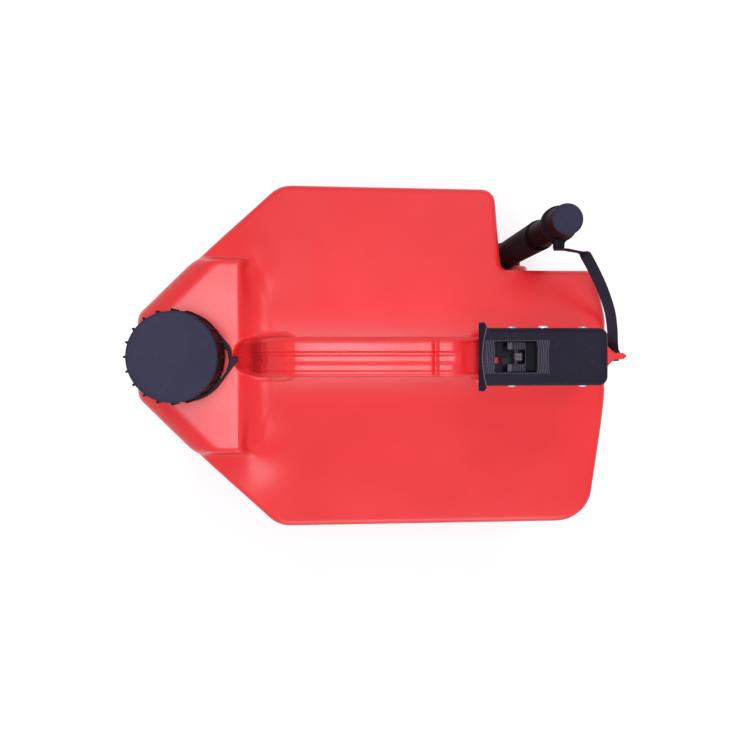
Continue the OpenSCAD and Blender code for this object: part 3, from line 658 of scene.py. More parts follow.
def shade_plate_field(x, y, z):
    """Dark plate behind the trigger inside the cover, with a slit and a finger, and the dark tray under it:
    sheets of painted shade in the thumb window.
    """
    plate = box(x, y, z, (COVER_REAR_X + 6, -20, SHADE_PLATE_Z[0]), (TIP_X - 0.7, 20, SHADE_PLATE_Z[1]), 0.4)
    plate = round_cut(plate, np.maximum(slab(y, *SLIT_Y), COVER_REAR_X + 8 - x), 0.3)
    finger_low = (TIP_X - 4, SLIT_Y[1], SHADE_PLATE_Z[0])
    finger = box(x, y, z, finger_low, (ROD_X - 5.5, SLOT_HALF - 0.6, SHADE_PLATE_Z[1]), 0.4)
    tray_low = (SHADE_TRAY_X[0], -SHADE_TRAY_HALF_W, SHADE_TRAY_Z)
    tray = box(x, y, z, tray_low, (SHADE_TRAY_X[1], SHADE_TRAY_HALF_W, SHADE_TRAY_Z + SHADE_TRAY_T), 0.3)
    back = box(x, y, z, tray_low, (SHADE_TRAY_X[0] + SHADE_TRAY_T, SHADE_TRAY_HALF_W, SHADE_PLATE_Z[1]), 0.3)
    tray = np.maximum(np.minimum(tray, back), -np.maximum(slab(y, *SLIT_Y), x - ROD_X))
    tray = np.maximum(tray, -disc(x - ROD_X, y, SHADE_TRAY_HOLE_R))
    return np.minimum(np.minimum(plate, finger), tray)


def cover_field(x, y, z):
    """Cover open below and at the rear, with ears at its rear edge, bowed ribs and the thumb window."""
    bowed = x + BOW * (1 - (y / COVER_HALF_W) ** 2)
    below = COVER_Z - z
    flare = LIP * np.clip((COVER_REAR_X + 5.4 - x) / 1.8, 0, 1) * np.clip((9 - below) / 4, 0, 1)
    half_w = COVER_HALF_W + flare
    rear_x = COVER_REAR_X - 0.6 + 0.5 * np.clip(below - 5, 0, 30)
    plan = round_and(rear_x - x, np.abs(y) - half_w, 0.6)
    plan = round_and(plan, x - COVER_FRONT_X, COVER_CORNER_R)
    ridge = 0.6 * ribs(bowed, RIB_PITCH, COVER_REAR_X + 5.8, RIB_END_X) * (np.abs(y) < 12.7)
    lift = 0.5 * np.clip(1 - np.abs(bowed - COVER_REAR_X - 4.6) / 0.9, 0, 1)
    fall = 0.9 * np.clip(COVER_REAR_X + 3.8 - bowed, 0, 4)
    top = z - COVER_Z - np.maximum(ridge, lift) + fall
    shell = round_and(plan, top, np.where(x < COVER_REAR_X + 8, 1.5, 5))
    shell = np.maximum(shell, COVER_LOW_Z - z)
    inner_side = np.abs(y) - (half_w - COVER_WALL)
    inner = round_and(inner_side, x - COVER_FRONT_X + COVER_WALL, COVER_CORNER_R - COVER_WALL)
    inner = round_and(inner, z - COVER_Z + COVER_WALL + fall, 3)
    shell = round_cut(shell, inner, 0.3)
    window = round_and(slab(x, *WINDOW), np.abs(y) - WINDOW_HALF, 0.8)
    shell = round_cut(shell, np.maximum(window, COVER_Z - 6 - z), 0.4)
    # Dark plate and tray: painted shade inside the window.
    shell = np.minimum(shell, shade_plate_field(x, y, z))
    holes = disc(x - PIN_X, z - PIN_Z, PIN_HOLE_R)
    for screw_x in SCREW_XS:
        holes = np.minimum(holes, disc(x - screw_x, z - SCREW_Z, 1.65))
    return np.maximum(shell, -holes)


def make_cover():
    xs = ladder((COVER_REAR_X - 2, RIB_END_X + 1, 0.2), (RIB_END_X + 1, COVER_FRONT_X + 2, 0.8))
    ys = np.arange(-27, 27.5, 0.6)
    zs = ladder((COVER_LOW_Z - 2, COVER_Z - 4, 1.0), (COVER_Z - 4, COVER_Z + 2.2, 0.3))
    cover = solid("trigger_cover_moulding", cover_field, xs, ys, zs)
    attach(cover, "can")
    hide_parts("trigger_cover")
    return cover


def screw_field(u, v, w):
    """Domed head along +W with a cross recess, its seat at w = 0, on a plain shank."""
    r = np.sqrt(u * u + v * v)
    dome = np.sqrt(u * u + v * v + (w + 3.2) ** 2) - 5
    head = round_and(np.maximum(r - SCREW_R, dome), -w, 0.3)
    arm = np.maximum(np.minimum(np.abs(u), np.abs(v)) - 0.5, r - 2.1)
    head = round_cut(head, np.maximum(arm, 0.8 - w), 0.15)
    shank = np.maximum(r - 1.6, slab(w, -SCREW_REACH, 0.4))
    return np.minimum(head, shank)


def make_screws():
    """Four screws as one piece, with their heads on the cover's sides."""
    low = (-SCREW_R, -SCREW_R, -SCREW_REACH)
    points, quads = surface_net(screw_field, *even_grid(low, (SCREW_R, SCREW_R, SCREW_RISE), 0.3))
    u, v, w = settle(screw_field, points).T
    placed = []
    faces = []
    for x in SCREW_XS:
        for side in (-1, 1):
            faces.append(quads + len(points) * len(placed))
            placed.append(np.stack([x - side * u, side * (COVER_HALF_W + w), SCREW_Z + v], -1))
    screws = mesh_object("cover_screw_set", np.concatenate(placed), np.concatenate(faces))
    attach(screws, "can")
    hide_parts("cover_screws")
    return screws


# Trigger, its pin and the rod's head
TRIGGER_HALF_W = TRIGGER_HIGH[1]
HEAD_LOW, HEAD_HIGH = node_mm("rod_head")


def trigger_field(x, y, z):
    """Lever with two ribbed thumb pads, a slot for the rod and a hub for its pin."""
    low_z = PIN_Z - 2.5
    slot_end = ROD_X + 5
    hub = round_and(disc(x - PIN_X, z - PIN_Z, 4.3), np.abs(y) - TRIGGER_HALF_W, 0.5)
    low = (TIP_X + 1.2, -TRIGGER_HALF_W, low_z)
    web = box(x, y, z, low, (PIN_X, TRIGGER_HALF_W, low_z + 3), 0.6)
    ridge = 0.7 * np.maximum(ribs(x, RIB_PITCH, TIP_X + 5, slot_end + 0.8), x < TIP_X + 4.8)
    pads = box(x, y, z - ridge, low, (slot_end + 1, TRIGGER_HALF_W, PAD_Z), 0.6)
    lever = round_or(round_or(hub, web, 1), pads, 0.8)
    slot = round_and(np.abs(y) - SLOT_HALF, slab(x, TIP_X - 9, slot_end), 1)
    lever = round_cut(lever, slot, 0.4)
    return np.maximum(lever, -disc(x - PIN_X, z - PIN_Z, PIN_HOLE_R))


def make_trigger():
    high = TRIGGER_HIGH + np.array([0, 0, 0.5])
    trigger = solid("trigger_moulding", trigger_field, *even_grid(TRIGGER_LOW, high, 0.25))
    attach(trigger, "trigger")
    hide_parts("trigger")
    return trigger


def make_trigger_pin():
    reach = COVER_HALF_W
    shank_r, head_r = 2, 4.1
    profile = rounded([
        (AXIS_R, -reach + 0.4, 0),
        (shank_r, -reach + 0.4, 0.4),
        (shank_r, reach, 0),
        (head_r, reach, 0.1),
        (head_r, reach + 1.6, 1.3),
        (AXIS_R, reach + 1.9, 0),
    ])
    pin = turned("trigger_pin_turned", profile, (PIN_X, 0, PIN_Z), along_y=True, segments=48)
    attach(pin, "can")
    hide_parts("trigger_pin")
    return pin


def make_rod_head():
    def field(x, y, z):
        block = box(x, y, z, HEAD_LOW, HEAD_HIGH, 0.7)
        slot = np.maximum(np.abs(y) - 0.5, HEAD_HIGH[2] - 1 - z)
        return round_cut(block, slot, 0.15)

    head = solid("rod_head_block", field, *even_grid(HEAD_LOW, HEAD_HIGH, 0.2))
    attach(head, "push_rod")
    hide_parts("rod_head")
    return head


# Spout: nut, elbow, hose, collar, nozzle and dust cap
RISER_LOW_Z = HOSE_LOW[2]
HOSE_TOP_Z = HOSE_HIGH[2]
HOSE_R = 13.5
HOSE_BORE_R = 9.95
HOSE_RIBS = 13
HOSE_CUFF = 7.0
RIB_DEPTH = 1.9
HUB_LOW, HUB_HIGH = node_mm("spout_elbow")
HUB_R = 15.2
HUB_BORE_R = 11.05
RISER_R = 12.5
RISER_BORE_R = 7.5
NUT_CORNER_R = 18.8
NUT_SIDES = 8
NUT_BORE_R = 13.05
WIRE_R = 0.8
WIRE_SIDES = 12
SPRING_TURNS = 5
SPRING_TURN_STEPS = 32
SPRING_END_PITCH = 1.75
RIM_R = 14.8
RIM_LOW_Z = DUST_LOW[2]
RIM_T = 8.0
DUST_R = 12.4
DUST_TOP_Z = DUST_HIGH[2]
DUST_LUG_Y = DUST_LOW[1]


def make_nut():
    def field(x, y, z):
        u, w = x - SPOUT_X, z - SPOUT_Z
        flat_r = NUT_CORNER_R * math.cos(math.pi / NUT_SIDES)
        flats = np.full(np.broadcast(u, w).shape, -1e9)
        for k in range(NUT_SIDES):
            a = math.pi * (2 * k + 1) / NUT_SIDES
            flats = np.maximum(flats, u * math.cos(a) + w * math.sin(a) - flat_r)
        nut = round_and(flats, slab(y, NUT_LOW[1], NUT_HIGH[1]), 0.8)
        return round_cut(nut, disc(u, w, NUT_BORE_R), 0.5)

    nut = solid("outlet_nut_moulding", field, *even_grid(NUT_LOW, NUT_HIGH, 0.6))
    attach(nut, "can")
    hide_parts("outlet_nut")
    return nut


def make_spring():
    """Coil with closed end turns."""
    low, high = node_mm("valve_spring")
    coil_r = (high[0] - low[0]) / 2 - WIRE_R
    low_z, high_z = low[2] + WIRE_R, high[2] - WIRE_R
    turns = np.linspace(0, SPRING_TURNS, SPRING_TURNS * SPRING_TURN_STEPS + 1)
    ends = [0, 1, SPRING_TURNS - 1, SPRING_TURNS]
    heights = np.interp(turns, ends, [low_z, low_z + SPRING_END_PITCH, high_z - SPRING_END_PITCH, high_z])
    rings = []
    for turn, height in zip(turns, heights):
        a = 2 * math.pi * turn
        b = -2 * math.pi * np.arange(WIRE_SIDES) / WIRE_SIDES
        r = coil_r + WIRE_R * np.cos(b)
        rings.append(np.stack([ROD_X + r * math.cos(a), r * math.sin(a), height + WIRE_R * np.sin(b)], -1))
    spring = swept("valve_spring_coil", rings)
    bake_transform(spring)
    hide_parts("valve_spring")
    return spring


def elbow_field(x, y, z):
    """Swivel hub along Y with the riser to the hose; the barb inside the hose is plain."""
    u, v, w = x - SPOUT_X, y - SPOUT_Y, z - SPOUT_Z
    hub = round_and(disc(u, w, HUB_R), slab(y, HUB_LOW[1], HUB_HIGH[1] - 2), 2.5)
    band = round_and(disc(u, w, HUB_R + 0.8), slab(y, HUB_HIGH[1] - 9, HUB_HIGH[1] - 5), 0.5)
    riser = round_and(disc(u, v, RISER_R), slab(z, SPOUT_Z, RISER_LOW_Z), 0.6)
    barb = np.maximum(disc(u, v, HOSE_BORE_R - 0.05), slab(z, SPOUT_Z, HUB_HIGH[2]))
    body = round_or(round_or(hub, band, 0.5), riser, 3)
    body = np.minimum(body, barb)
    inside = np.maximum(disc(u, w, HUB_BORE_R), y - HUB_HIGH[1] + 4)
    inside = np.minimum(inside, np.maximum(disc(u, v, RISER_BORE_R), SPOUT_Z - z))
    slot = np.maximum(slab(y, HUB_LOW[1] + 3, HUB_LOW[1] + 4.8), np.maximum(1 - u, -disc(u, w, 10)))
    return round_cut(body, np.minimum(inside, slot), 0.2)


def make_elbow():
    elbow = solid("spout_elbow_moulding", elbow_field, *even_grid(HUB_LOW, HUB_HIGH, 0.6))
    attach(elbow, "spout")
    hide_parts("spout_elbow")
    return elbow


def make_hose():
    """Ribbed hose with its bore: soft round ribs between two plain cuffs."""
    cuff_r = HOSE_R - 0.4
    profile = [(HOSE_BORE_R, RISER_LOW_Z), (cuff_r - 0.5, RISER_LOW_Z), (cuff_r, RISER_LOW_Z + 0.5)]
    first = RISER_LOW_Z + HOSE_CUFF
    pitch = (HOSE_TOP_Z - RISER_LOW_Z - 2 * HOSE_CUFF) / HOSE_RIBS
    profile.append((cuff_r, first - 0.8))
    steps = 10
    for k in range(HOSE_RIBS * steps + 1):
        swell = (0.5 - 0.5 * math.cos(2 * math.pi * k / steps)) ** 0.7
        profile.append((HOSE_R - RIB_DEPTH * (1 - swell), first + pitch * k / steps))
    profile.append((cuff_r, HOSE_TOP_Z - HOSE_CUFF + 0.8))
    profile += [(cuff_r, HOSE_TOP_Z - 0.5), (cuff_r - 0.5, HOSE_TOP_Z), (HOSE_BORE_R, HOSE_TOP_Z)]
    hose = turned("spout_hose_ribbed", profile, (SPOUT_X, SPOUT_Y, 0), smooth_angle=60)
    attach(hose, "spout")
    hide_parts("spout_hose")
    return hose


def make_collar():
    low, high = node_mm("spout_collar")
    foot_r = 13.6
    profile = rounded([
        (HOSE_BORE_R, low[2], 0.2),
        (foot_r, low[2], 1),
        (foot_r, low[2] + 9, 0.8),
        (11.6, low[2] + 12, 1.5),
        (10.9, high[2], 0.8),
        (HOSE_BORE_R, high[2], 0.2),
    ])
    collar = turned("spout_collar_turned", profile, (SPOUT_X, SPOUT_Y, 0))
    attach(collar, "spout")
    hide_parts("spout_collar")
    return collar


def make_nozzle():
    low, high = node_mm("spout_nozzle")
    bead_low, bead_high = RIM_LOW_Z - 4.4, RIM_LOW_Z - 0.4
    tube_r = HOSE_BORE_R - 0.05
    bore_r, bead_r, groove_r = 7, 11.2, tube_r - 1.4
    groove_low = high[2] - 8
    groove_high = groove_low + 2.2
    profile = rounded([
        (bore_r, low[2], 0.3),
        (tube_r, low[2], 0.4),
        (tube_r, bead_low, 0.4),
        (bead_r, bead_low, 0.6),
        (bead_r, bead_high, 0.6),
        (tube_r, bead_high, 0.4),
        (tube_r, groove_low, 0.2),
        (groove_r, groove_low, 0.2),
        (groove_r, groove_high, 0.2),
        (tube_r, groove_high, 0.2),
        (tube_r, high[2], 0.8),
        (bore_r, high[2], 0.6),
    ])
    nozzle = turned("spout_nozzle_turned", profile, (SPOUT_X, SPOUT_Y, 0))
    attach(nozzle, "spout")
    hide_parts("spout_nozzle")
    return nozzle


def dust_cap_field(x, y, z):
    """Cap with a wide rim, a softly edged flat top and a lug for the strap."""
    u, v = x - SPOUT_X, y - SPOUT_Y
    r = np.sqrt(u * u + v * v)
    taper = 0.6 * np.clip((DUST_TOP_Z - z) / 24, 0, 1)
    body = round_and(r - DUST_R - taper, slab(z, RIM_LOW_Z, DUST_TOP_Z), 1.6)
    ledge = round_and(np.maximum(r - DUST_R + 1.6, DUST_TOP_Z - 0.5 - z), DUST_TOP_Z - z - 3, 0.2)
    body = round_cut(body, ledge, 0.4)
    rim = round_and(r - RIM_R, slab(z, RIM_LOW_Z, RIM_LOW_Z + RIM_T), 1.5)
    cap = round_or(body, rim, 1.2)
    lug = box(u, y, z, (-4, DUST_LUG_Y, RIM_LOW_Z), (4, SPOUT_Y - 8, RIM_LOW_Z + RIM_T), 1)
    cap = round_or(cap, lug, 2.5)
    bore = np.maximum(r - HOSE_BORE_R - 0.25, z - DUST_TOP_Z + 4)
    return round_cut(cap, bore, 0.3)


def make_dust_cap():
    cap = solid("dust_cap_moulding", dust_cap_field, *even_grid(DUST_LOW, DUST_HIGH, 0.45))
    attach(cap, "dust_cap")
    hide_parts("dust_cap")
    return cap


# Tether strap and its rivet
STRAP_W = 9.0
STRAP_T = 1.2
STRAP_BEVEL = 0.35
STRAP_EDGE_Y = DUST_LUG_Y - STRAP_T / 2
STRAP_STEPS = 10
STRAP_SPLIT = 8
# Places along the strap's middle, each with the direction of its width
STRAP_ROUTE = [
    ((SPOUT_X - 3, STRAP_EDGE_Y, 268), (0, 0, 1)),
    ((SPOUT_X + 5, STRAP_EDGE_Y, 268), (0, 0, 1)),
    ((156, 85.8, 268), (0, 0, 1)),
    ((164, 84.4, 267.5), (0, 0, 1)),
    ((167.5, 83, 266.8), (0.5, 0.35, 0.75)),
    ((170.5, 79.8, 265.3), (0.95, 0.35, 0.1)),
    ((180, 67, 258), (0.86, 0.5, 0.1)),
    ((189, 54, 249), (0.88, 0.45, 0.1)),
    ((198, 38, 238), (0.92, 0.38, 0.15)),
    ((204, 23, 226.5), (0.95, 0.25, 0.15)),
    ((RIVET_X - 3, 10, 217.5), (0.95, 0.1, 0.35)),
    ((RIVET_X, FIN_HALF_T + STRAP_T / 2, RIVET_Z), (0.2, 0, 1)),
    ((RIVET_X + 1, FIN_HALF_T + STRAP_T / 2, RIVET_Z - 5), (1, 0, 0.2)),
]


def smooth_path(values, per_span):
    """Points of a curve through the given rows."""
    rows = np.array(values, float)
    rows = np.vstack([2 * rows[0] - rows[1], rows, 2 * rows[-1] - rows[-2]])
    out = []
    for a, b, c, d in zip(rows, rows[1:], rows[2:], rows[3:]):
        square = 2 * a - 5 * b + 4 * c - d
        cube = 3 * b - a - 3 * c + d
        for k in range(per_span):
            t = k / per_span
            out.append((2 * b + (c - a) * t + square * t ** 2 + cube * t ** 3) / 2)
    out.append(rows[-2])
    return np.array(out)


def strap_band(name, first, last):
    """Length of the strap between two places of its route."""
    middle = smooth_path([p for p, _ in STRAP_ROUTE], STRAP_STEPS)
    across = smooth_path([w for _, w in STRAP_ROUTE], STRAP_STEPS)
    ahead = np.gradient(middle, axis=0)
    ahead /= np.linalg.norm(ahead, axis=1)[:, None]
    across -= ahead * (across * ahead).sum(1)[:, None]
    across /= np.linalg.norm(across, axis=1)[:, None]
    normal = np.cross(ahead, across)
    w, t, bevel = STRAP_W / 2, STRAP_T / 2, STRAP_BEVEL
    section = rounded([(-w, -t, bevel), (w, -t, bevel), (w, t, bevel), (-w, t, bevel)], steps=3)
    rings = []
    for k in range(first * STRAP_STEPS, last * STRAP_STEPS + 1):
        rings.append([middle[k] + across[k] * p + normal[k] * q for p, q in section])
    return swept(name, rings)


def make_strap():
    """Length of the strap from the fin."""
    strap = strap_band("tether_strap_fin_end", STRAP_SPLIT, len(STRAP_ROUTE) - 1)
    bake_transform(strap)
    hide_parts("tether_strap")
    return strap


def make_strap_cap_end():
    """Length of the strap to the dust cap."""
    strap = strap_band("tether_strap_cap_end", 0, STRAP_SPLIT)
    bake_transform(strap)
    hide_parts("tether_strap")
    return strap


def make_rivet():
    near, far = -FIN_HALF_T, FIN_HALF_T + STRAP_T
    shank_r, head_r = 2, 3.8
    profile = rounded([
        (AXIS_R, near - 1.8, 0),
        (head_r, near - 1.4, 0.9),
        (head_r, near, 0.1),
        (shank_r, near, 0),
        (shank_r, far, 0),
        (head_r, far, 0.1),
        (head_r, far + 1.4, 0.9),
        (AXIS_R, far + 1.8, 0),
    ])
    rivet = turned("tether_rivet_turned", profile, (RIVET_X, 0, RIVET_Z), along_y=True, segments=48)
    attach(rivet, "can")
    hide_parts("tether_rivet")
    return rivet


# Materials
def srgb(r, g, b):
    """Linear colour from values of 0 to 255."""
    channels = []
    for c in (r, g, b):
        c /= 255
        channels.append(c / 12.92 if c <= 0.04045 else ((c + 0.055) / 1.055) ** 2.4)
    return (*channels, 1.0)


def noise(nodes, links, scale, detail=3.0):
    """Noise over the piece's own coordinates; scale is in features per metre."""
    place = nodes.new("ShaderNodeTexCoord")
    texture = nodes.new("ShaderNodeTexNoise")
    texture.inputs["Scale"].default_value = scale
    texture.inputs["Detail"].default_value = detail
    links.new(place.outputs["Object"], texture.inputs["Vector"])
    return texture.outputs["Fac"]


def between(nodes, links, value, low, high, start=0.3, end=0.7):
    """Maps a noise value onto a range."""
    spread = nodes.new("ShaderNodeMapRange")
    spread.inputs["From Min"].default_value = start
    spread.inputs["From Max"].default_value = end
    spread.inputs["To Min"].default_value = low
    spread.inputs["To Max"].default_value = high
    links.new(value, spread.inputs["Value"])
    return spread.outputs["Result"]


def mixed(nodes, links, factor, first, second):
    """Colour between two colours."""
    mix = nodes.new("ShaderNodeMix")
    mix.data_type = "RGBA"
    links.new(factor, mix.inputs["Factor"])
    for socket, colour in ((mix.inputs[6], first), (mix.inputs[7], second)):
        if isinstance(colour, tuple):
            socket.default_value = colour
        else:
            links.new(colour, socket)
    return mix.outputs[2]


def bumped(nodes, links, height, strength, distance, below=None):
    bump = nodes.new("ShaderNodeBump")
    bump.inputs["Strength"].default_value = strength
    bump.inputs["Distance"].default_value = distance
    links.new(height, bump.inputs["Height"])
    if below:
        links.new(below, bump.inputs["Normal"])
    return bump.outputs["Normal"]


def finish(name, dark, light, rough, grain_scale, grain, wave=0.0, metal=0.0, specular=0.5, scuff=0.0):
    """Moulded or plated surface: two close tones in patches, fine grain, slow waves and faint scuffs."""
    material = bpy.data.materials.new(name)
    material.use_nodes = True
    nodes, links = material.node_tree.nodes, material.node_tree.links
    shader = nodes["Principled BSDF"]
    patches = between(nodes, links, noise(nodes, links, 16), 0, 1)
    colour = mixed(nodes, links, patches, dark, light)
    grains = noise(nodes, links, grain_scale, 2)
    if scuff:
        marks = between(nodes, links, noise(nodes, links, 140, 8), 0, scuff, 0.58, 0.72)
        pale = tuple(min(1, 0.6 * c + 0.12) for c in light[:3]) + (1.0,)
        colour = mixed(nodes, links, marks, colour, pale)
    links.new(colour, shader.inputs["Base Color"])
    roughness = between(nodes, links, noise(nodes, links, 30, 0), rough - 0.02, rough + 0.03)
    links.new(roughness, shader.inputs["Roughness"])
    shader.inputs["Metallic"].default_value = metal
    shader.inputs["Specular IOR Level"].default_value = specular
    normal = bumped(nodes, links, grains, grain, 0.0004)
    if wave:
        normal = bumped(nodes, links, noise(nodes, links, 14, 1), wave, 0.006, normal)
    links.new(normal, shader.inputs["Normal"])
    return material


def make_materials():
    """All finishes by name, each from its two tones, roughness and grain."""
    return {
        "tank_red": finish(
            "red_polyethylene", srgb(228, 34, 40), srgb(234, 41, 47), 0.31, 600, 0.03, wave=0.05,
        ),
        "cap_black": finish(
            "slate_plastic", srgb(39, 38, 58), srgb(44, 43, 64), 0.64, 1800, 0.2, specular=0.2, scuff=0.05,
        ),
        "cover_black": finish(
            "cover_plastic", srgb(22, 18, 33), srgb(27, 22, 39), 0.62, 1700, 0.2, specular=0.15, scuff=0.05,
        ),
        "ring_black": finish(
            "ring_plastic", srgb(26, 20, 24), srgb(34, 27, 31), 0.55, 1700, 0.15, specular=0.2, scuff=0.05,
        ),
        "hose_rubber": finish(
            "hose_rubber", srgb(28, 31, 40), srgb(34, 37, 46), 0.6, 2200, 0.2, specular=0.4,
        ),
        "strap_plastic": finish(
            "strap_plastic", srgb(30, 24, 38), srgb(35, 28, 43), 0.6, 1700, 0.15, specular=0.15,
        ),
        # Painted highlight: a lighter tone for the rib crests, standing in for the light they catch.
        "rib_crest_highlight": finish(
            "painted_rib_highlight", srgb(80, 73, 87), srgb(88, 81, 95), 0.55, 1700, 0.1, specular=0.2,
        ),
        # Painted shade: a darker copy of the black plastics, for the caps' sides, the spout collar and the
        # trigger's body.
        "painted_shade_black": finish(
            "painted_shade_plastic", srgb(9, 10, 15), srgb(13, 14, 20), 0.6, 1700, 0.15, specular=0.12,
        ),
        # Painted shade: a dim, non-metal copy of the zinc steel for the rod, its cross pin and head in the
        # thumb window.
        "shaded_zinc": finish(
            "shaded_zinc", srgb(80, 73, 83), srgb(90, 82, 92), 0.5, 2600, 0.06, specular=0.3,
        ),
        # Seal rubber; the same dark finish stands as painted shade on the vent gland.
        "seal_rubber": finish(
            "seal_rubber", srgb(20, 19, 21), srgb(26, 25, 27), 0.6, 2200, 0.15,
        ),
        "zinc_steel": finish(
            "zinc_steel", srgb(196, 198, 202), srgb(216, 218, 221), 0.28, 2600, 0.06, metal=1.0,
        ),
        "natural_plastic": finish(
            "natural_plastic", srgb(214, 209, 194), srgb(224, 220, 207), 0.45, 1500, 0.08,
        ),
    }


# CAD nodes that are shown as they are
NODE_FINISH = {
    "cap_seal": "seal_rubber",
    "vent_seal": "seal_rubber",
    "poppet_seal": "seal_rubber",
    "outlet_gasket": "seal_rubber",
    "spigot_o_ring": "seal_rubber",
    "nozzle_seal": "seal_rubber",
    # Rod and cross pin: steel, in the dim zinc copy as painted shade.
    "push_rod": "shaded_zinc",
    "rod_cross_pin": "shaded_zinc",
    "valve_poppet": "zinc_steel",
    "elbow_clip": "zinc_steel",
    # Vent gland: natural plastic, shown in the dark seal finish as painted shade in the thumb window.
    "vent_gland": "seal_rubber",
    "valve_body": "natural_plastic",
    "valve_cage": "natural_plastic",
}


def paint(obj, material):
    obj.data.materials.clear()
    obj.data.materials.append(material)


def paint_above(obj, material, height):
    """Gives the faces above a height in millimetres a finish of their own."""
    obj.data.materials.append(material)
    for face in obj.data.polygons:
        if face.center.z > height * MM:
            face.material_index = len(obj.data.materials) - 1


# Studio
FLOOR_GLOW = 0.52
LAMP_TINT = (0.95, 0.95, 1.0)
WORLD_LEVEL = 0.2


def background_rays(nodes, links):
    """1 where a ray shows the background: straight to the camera, in a reflection or through glass."""
    path = nodes.new("ShaderNodeLightPath")
    shown = path.outputs["Is Camera Ray"]
    for kind in ("Is Glossy Ray", "Is Transmission Ray"):
        either = nodes.new("ShaderNodeMath")
        either.operation = "MAXIMUM"
        links.new(shown, either.inputs[0])
        links.new(path.outputs[kind], either.inputs[1])
        shown = either.outputs["Value"]
    return shown


def make_floor():
    """Pale floor: white to the eye, and it keeps the can's shadow."""
    half = 6.0
    corners = [(-half, -half, 0), (half, -half, 0), (half, half, 0), (-half, half, 0)]
    mesh = bpy.data.meshes.new("floor")
    mesh.from_pydata(corners, [], [(0, 1, 2, 3)])
    floor = bpy.data.objects.new("floor", mesh)
    bpy.context.scene.collection.objects.link(floor)
    material = bpy.data.materials.new("pale_floor")
    material.use_nodes = True
    nodes, links = material.node_tree.nodes, material.node_tree.links
    shader = nodes["Principled BSDF"]
    patches = between(nodes, links, noise(nodes, links, 3), 0, 1)
    colour = mixed(nodes, links, patches, (0.6, 0.6, 0.6, 1), (0.62, 0.62, 0.62, 1))
    links.new(colour, shader.inputs["Base Color"])
    shader.inputs["Roughness"].default_value = 0.8
    shader.inputs["Specular IOR Level"].default_value = 0.1
    glow = nodes.new("ShaderNodeMath")
    glow.operation = "MULTIPLY"
    glow.inputs[1].default_value = FLOOR_GLOW
    links.new(background_rays(nodes, links), glow.inputs[0])
    shader.inputs["Emission Color"].default_value = (1, 1, 1, 1)
    links.new(glow.outputs["Value"], shader.inputs["Emission Strength"])
    paint(floor, material)


def make_world():
    world = bpy.data.worlds.new("studio")
    bpy.context.scene.world = world
    world.use_nodes = True
    nodes, links = world.node_tree.nodes, world.node_tree.links
    background = nodes["Background"]
    background.inputs["Color"].default_value = (1, 1, 1, 1)
    level = nodes.new("ShaderNodeMapRange")
    level.inputs["To Min"].default_value = WORLD_LEVEL
    level.inputs["To Max"].default_value = 1.0
    links.new(background_rays(nodes, links), level.inputs["Value"])
    links.new(level.outputs["Result"], background.inputs["Strength"])


def make_lamp(name, place, target, size, power, mirrored=True):
    """Soft square lamp aimed at a point, in metres and watts; mirrored lamps show in glossy surfaces."""
    data = bpy.data.lights.new(name, "AREA")
    data.shape = "SQUARE"
    data.size = size
    data.energy = power
    data.color = LAMP_TINT
    lamp = bpy.data.objects.new(name, data)
    lamp.visible_glossy = mirrored
    lamp.location = place
    lamp.rotation_euler = (Vector(target) - Vector(place)).to_track_quat("-Z", "Y").to_euler()
    bpy.context.scene.collection.objects.link(lamp)


CAMERA_PLACE = (-31.1, 4.4, 941.6)
CAMERA_TILT = (-1.15, -1.92, -0.05)
IMAGE_SIDE = 736
FOCAL_PIXELS = 836
SENSOR_WIDTH = 36.0


def make_camera():
    data = bpy.data.cameras.new("camera")
    data.sensor_width = SENSOR_WIDTH
    data.lens = FOCAL_PIXELS / IMAGE_SIDE * SENSOR_WIDTH
    data.clip_start = 0.01
    camera = bpy.data.objects.new("camera", data)
    camera.location = Vector(CAMERA_PLACE) * MM
    camera.rotation_euler = [math.radians(a) for a in CAMERA_TILT]
    bpy.context.scene.collection.objects.link(camera)
    bpy.context.scene.camera = camera


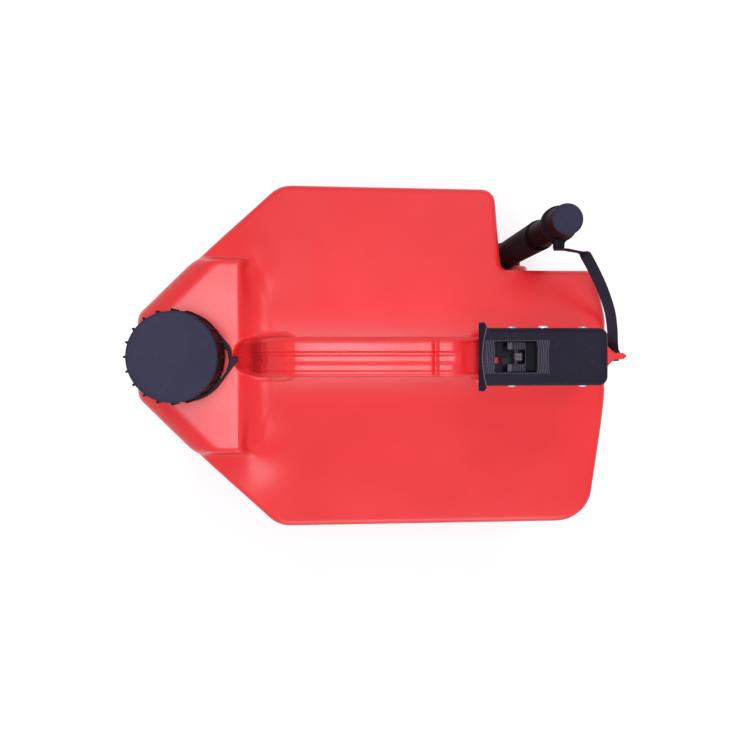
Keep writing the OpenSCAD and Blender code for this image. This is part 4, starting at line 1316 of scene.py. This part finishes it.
def main():
    make_camera()
    make_floor()
    make_world()
    make_lamp("overhead_softbox", (-0.13, 0.0, 2.0), (-0.13, 0, 0.2), 0.9, 20)
    make_lamp("far_softbox", (0.2, 1.2, 1.6), (0.05, 0, 0.2), 1.2, 12, mirrored=False)
    make_lamp("near_softbox", (0.25, -2.0, 1.15), (0, 0, 0.2), 1.2, 16)
    finishes = make_materials()
    for node, look in NODE_FINISH.items():
        paint(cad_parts[node], finishes[look])
    for make, look in (
        (make_tank, "tank_red"),
        # Fill cap sides in the painted shade black; its top disc gets the cap's own slate tone below.
        (make_fill_cap, "painted_shade_black"),
        (make_lock_ring, "ring_black"),
        (make_cover, "cover_black"),
        (make_screws, "zinc_steel"),
        # Trigger body in the painted shade black; its pad tops in the cover's finish.
        (make_trigger, "painted_shade_black"),
        (make_trigger_pin, "zinc_steel"),
        # Rod head: steel, in the dim zinc copy as painted shade.
        (make_rod_head, "shaded_zinc"),
        (make_nut, "cover_black"),
        (make_elbow, "cover_black"),
        (make_hose, "hose_rubber"),
        # Spout collar in the painted shade black, darker than its own black.
        (make_collar, "painted_shade_black"),
        (make_nozzle, "cover_black"),
        # Dust cap sides in the painted shade black; its top gets the cap's own slate tone below.
        (make_dust_cap, "painted_shade_black"),
        (make_strap, "strap_plastic"),
        (make_strap_cap_end, "strap_plastic"),
        (make_spring, "zinc_steel"),
        (make_rivet, "ring_black"),
    ):
        piece = make()
        paint(piece, finishes[look])
        if make is make_cover:
            # Painted highlight on the cover's rib crests, the faces above its top.
            paint_above(piece, finishes["rib_crest_highlight"], COVER_Z + 0.25)
        if make is make_fill_cap:
            # Fill cap: top disc in its own slate tone, the sides stay in painted shade.
            paint_above(piece, finishes["cap_black"], CAP_HIGH[2] - 1.6)
        if make is make_dust_cap:
            # Dust cap: top in its own slate tone, the sides stay in painted shade.
            paint_above(piece, finishes["cap_black"], DUST_TOP_Z - 1.2)
        if make is make_trigger:
            paint_above(piece, finishes["cover_black"], PAD_Z - 0.5)
            # Painted highlight on the trigger pads' rib crests.
            paint_above(piece, finishes["rib_crest_highlight"], PAD_Z + 0.3)
    bpy.context.scene.view_settings.view_transform = "Standard"


main()
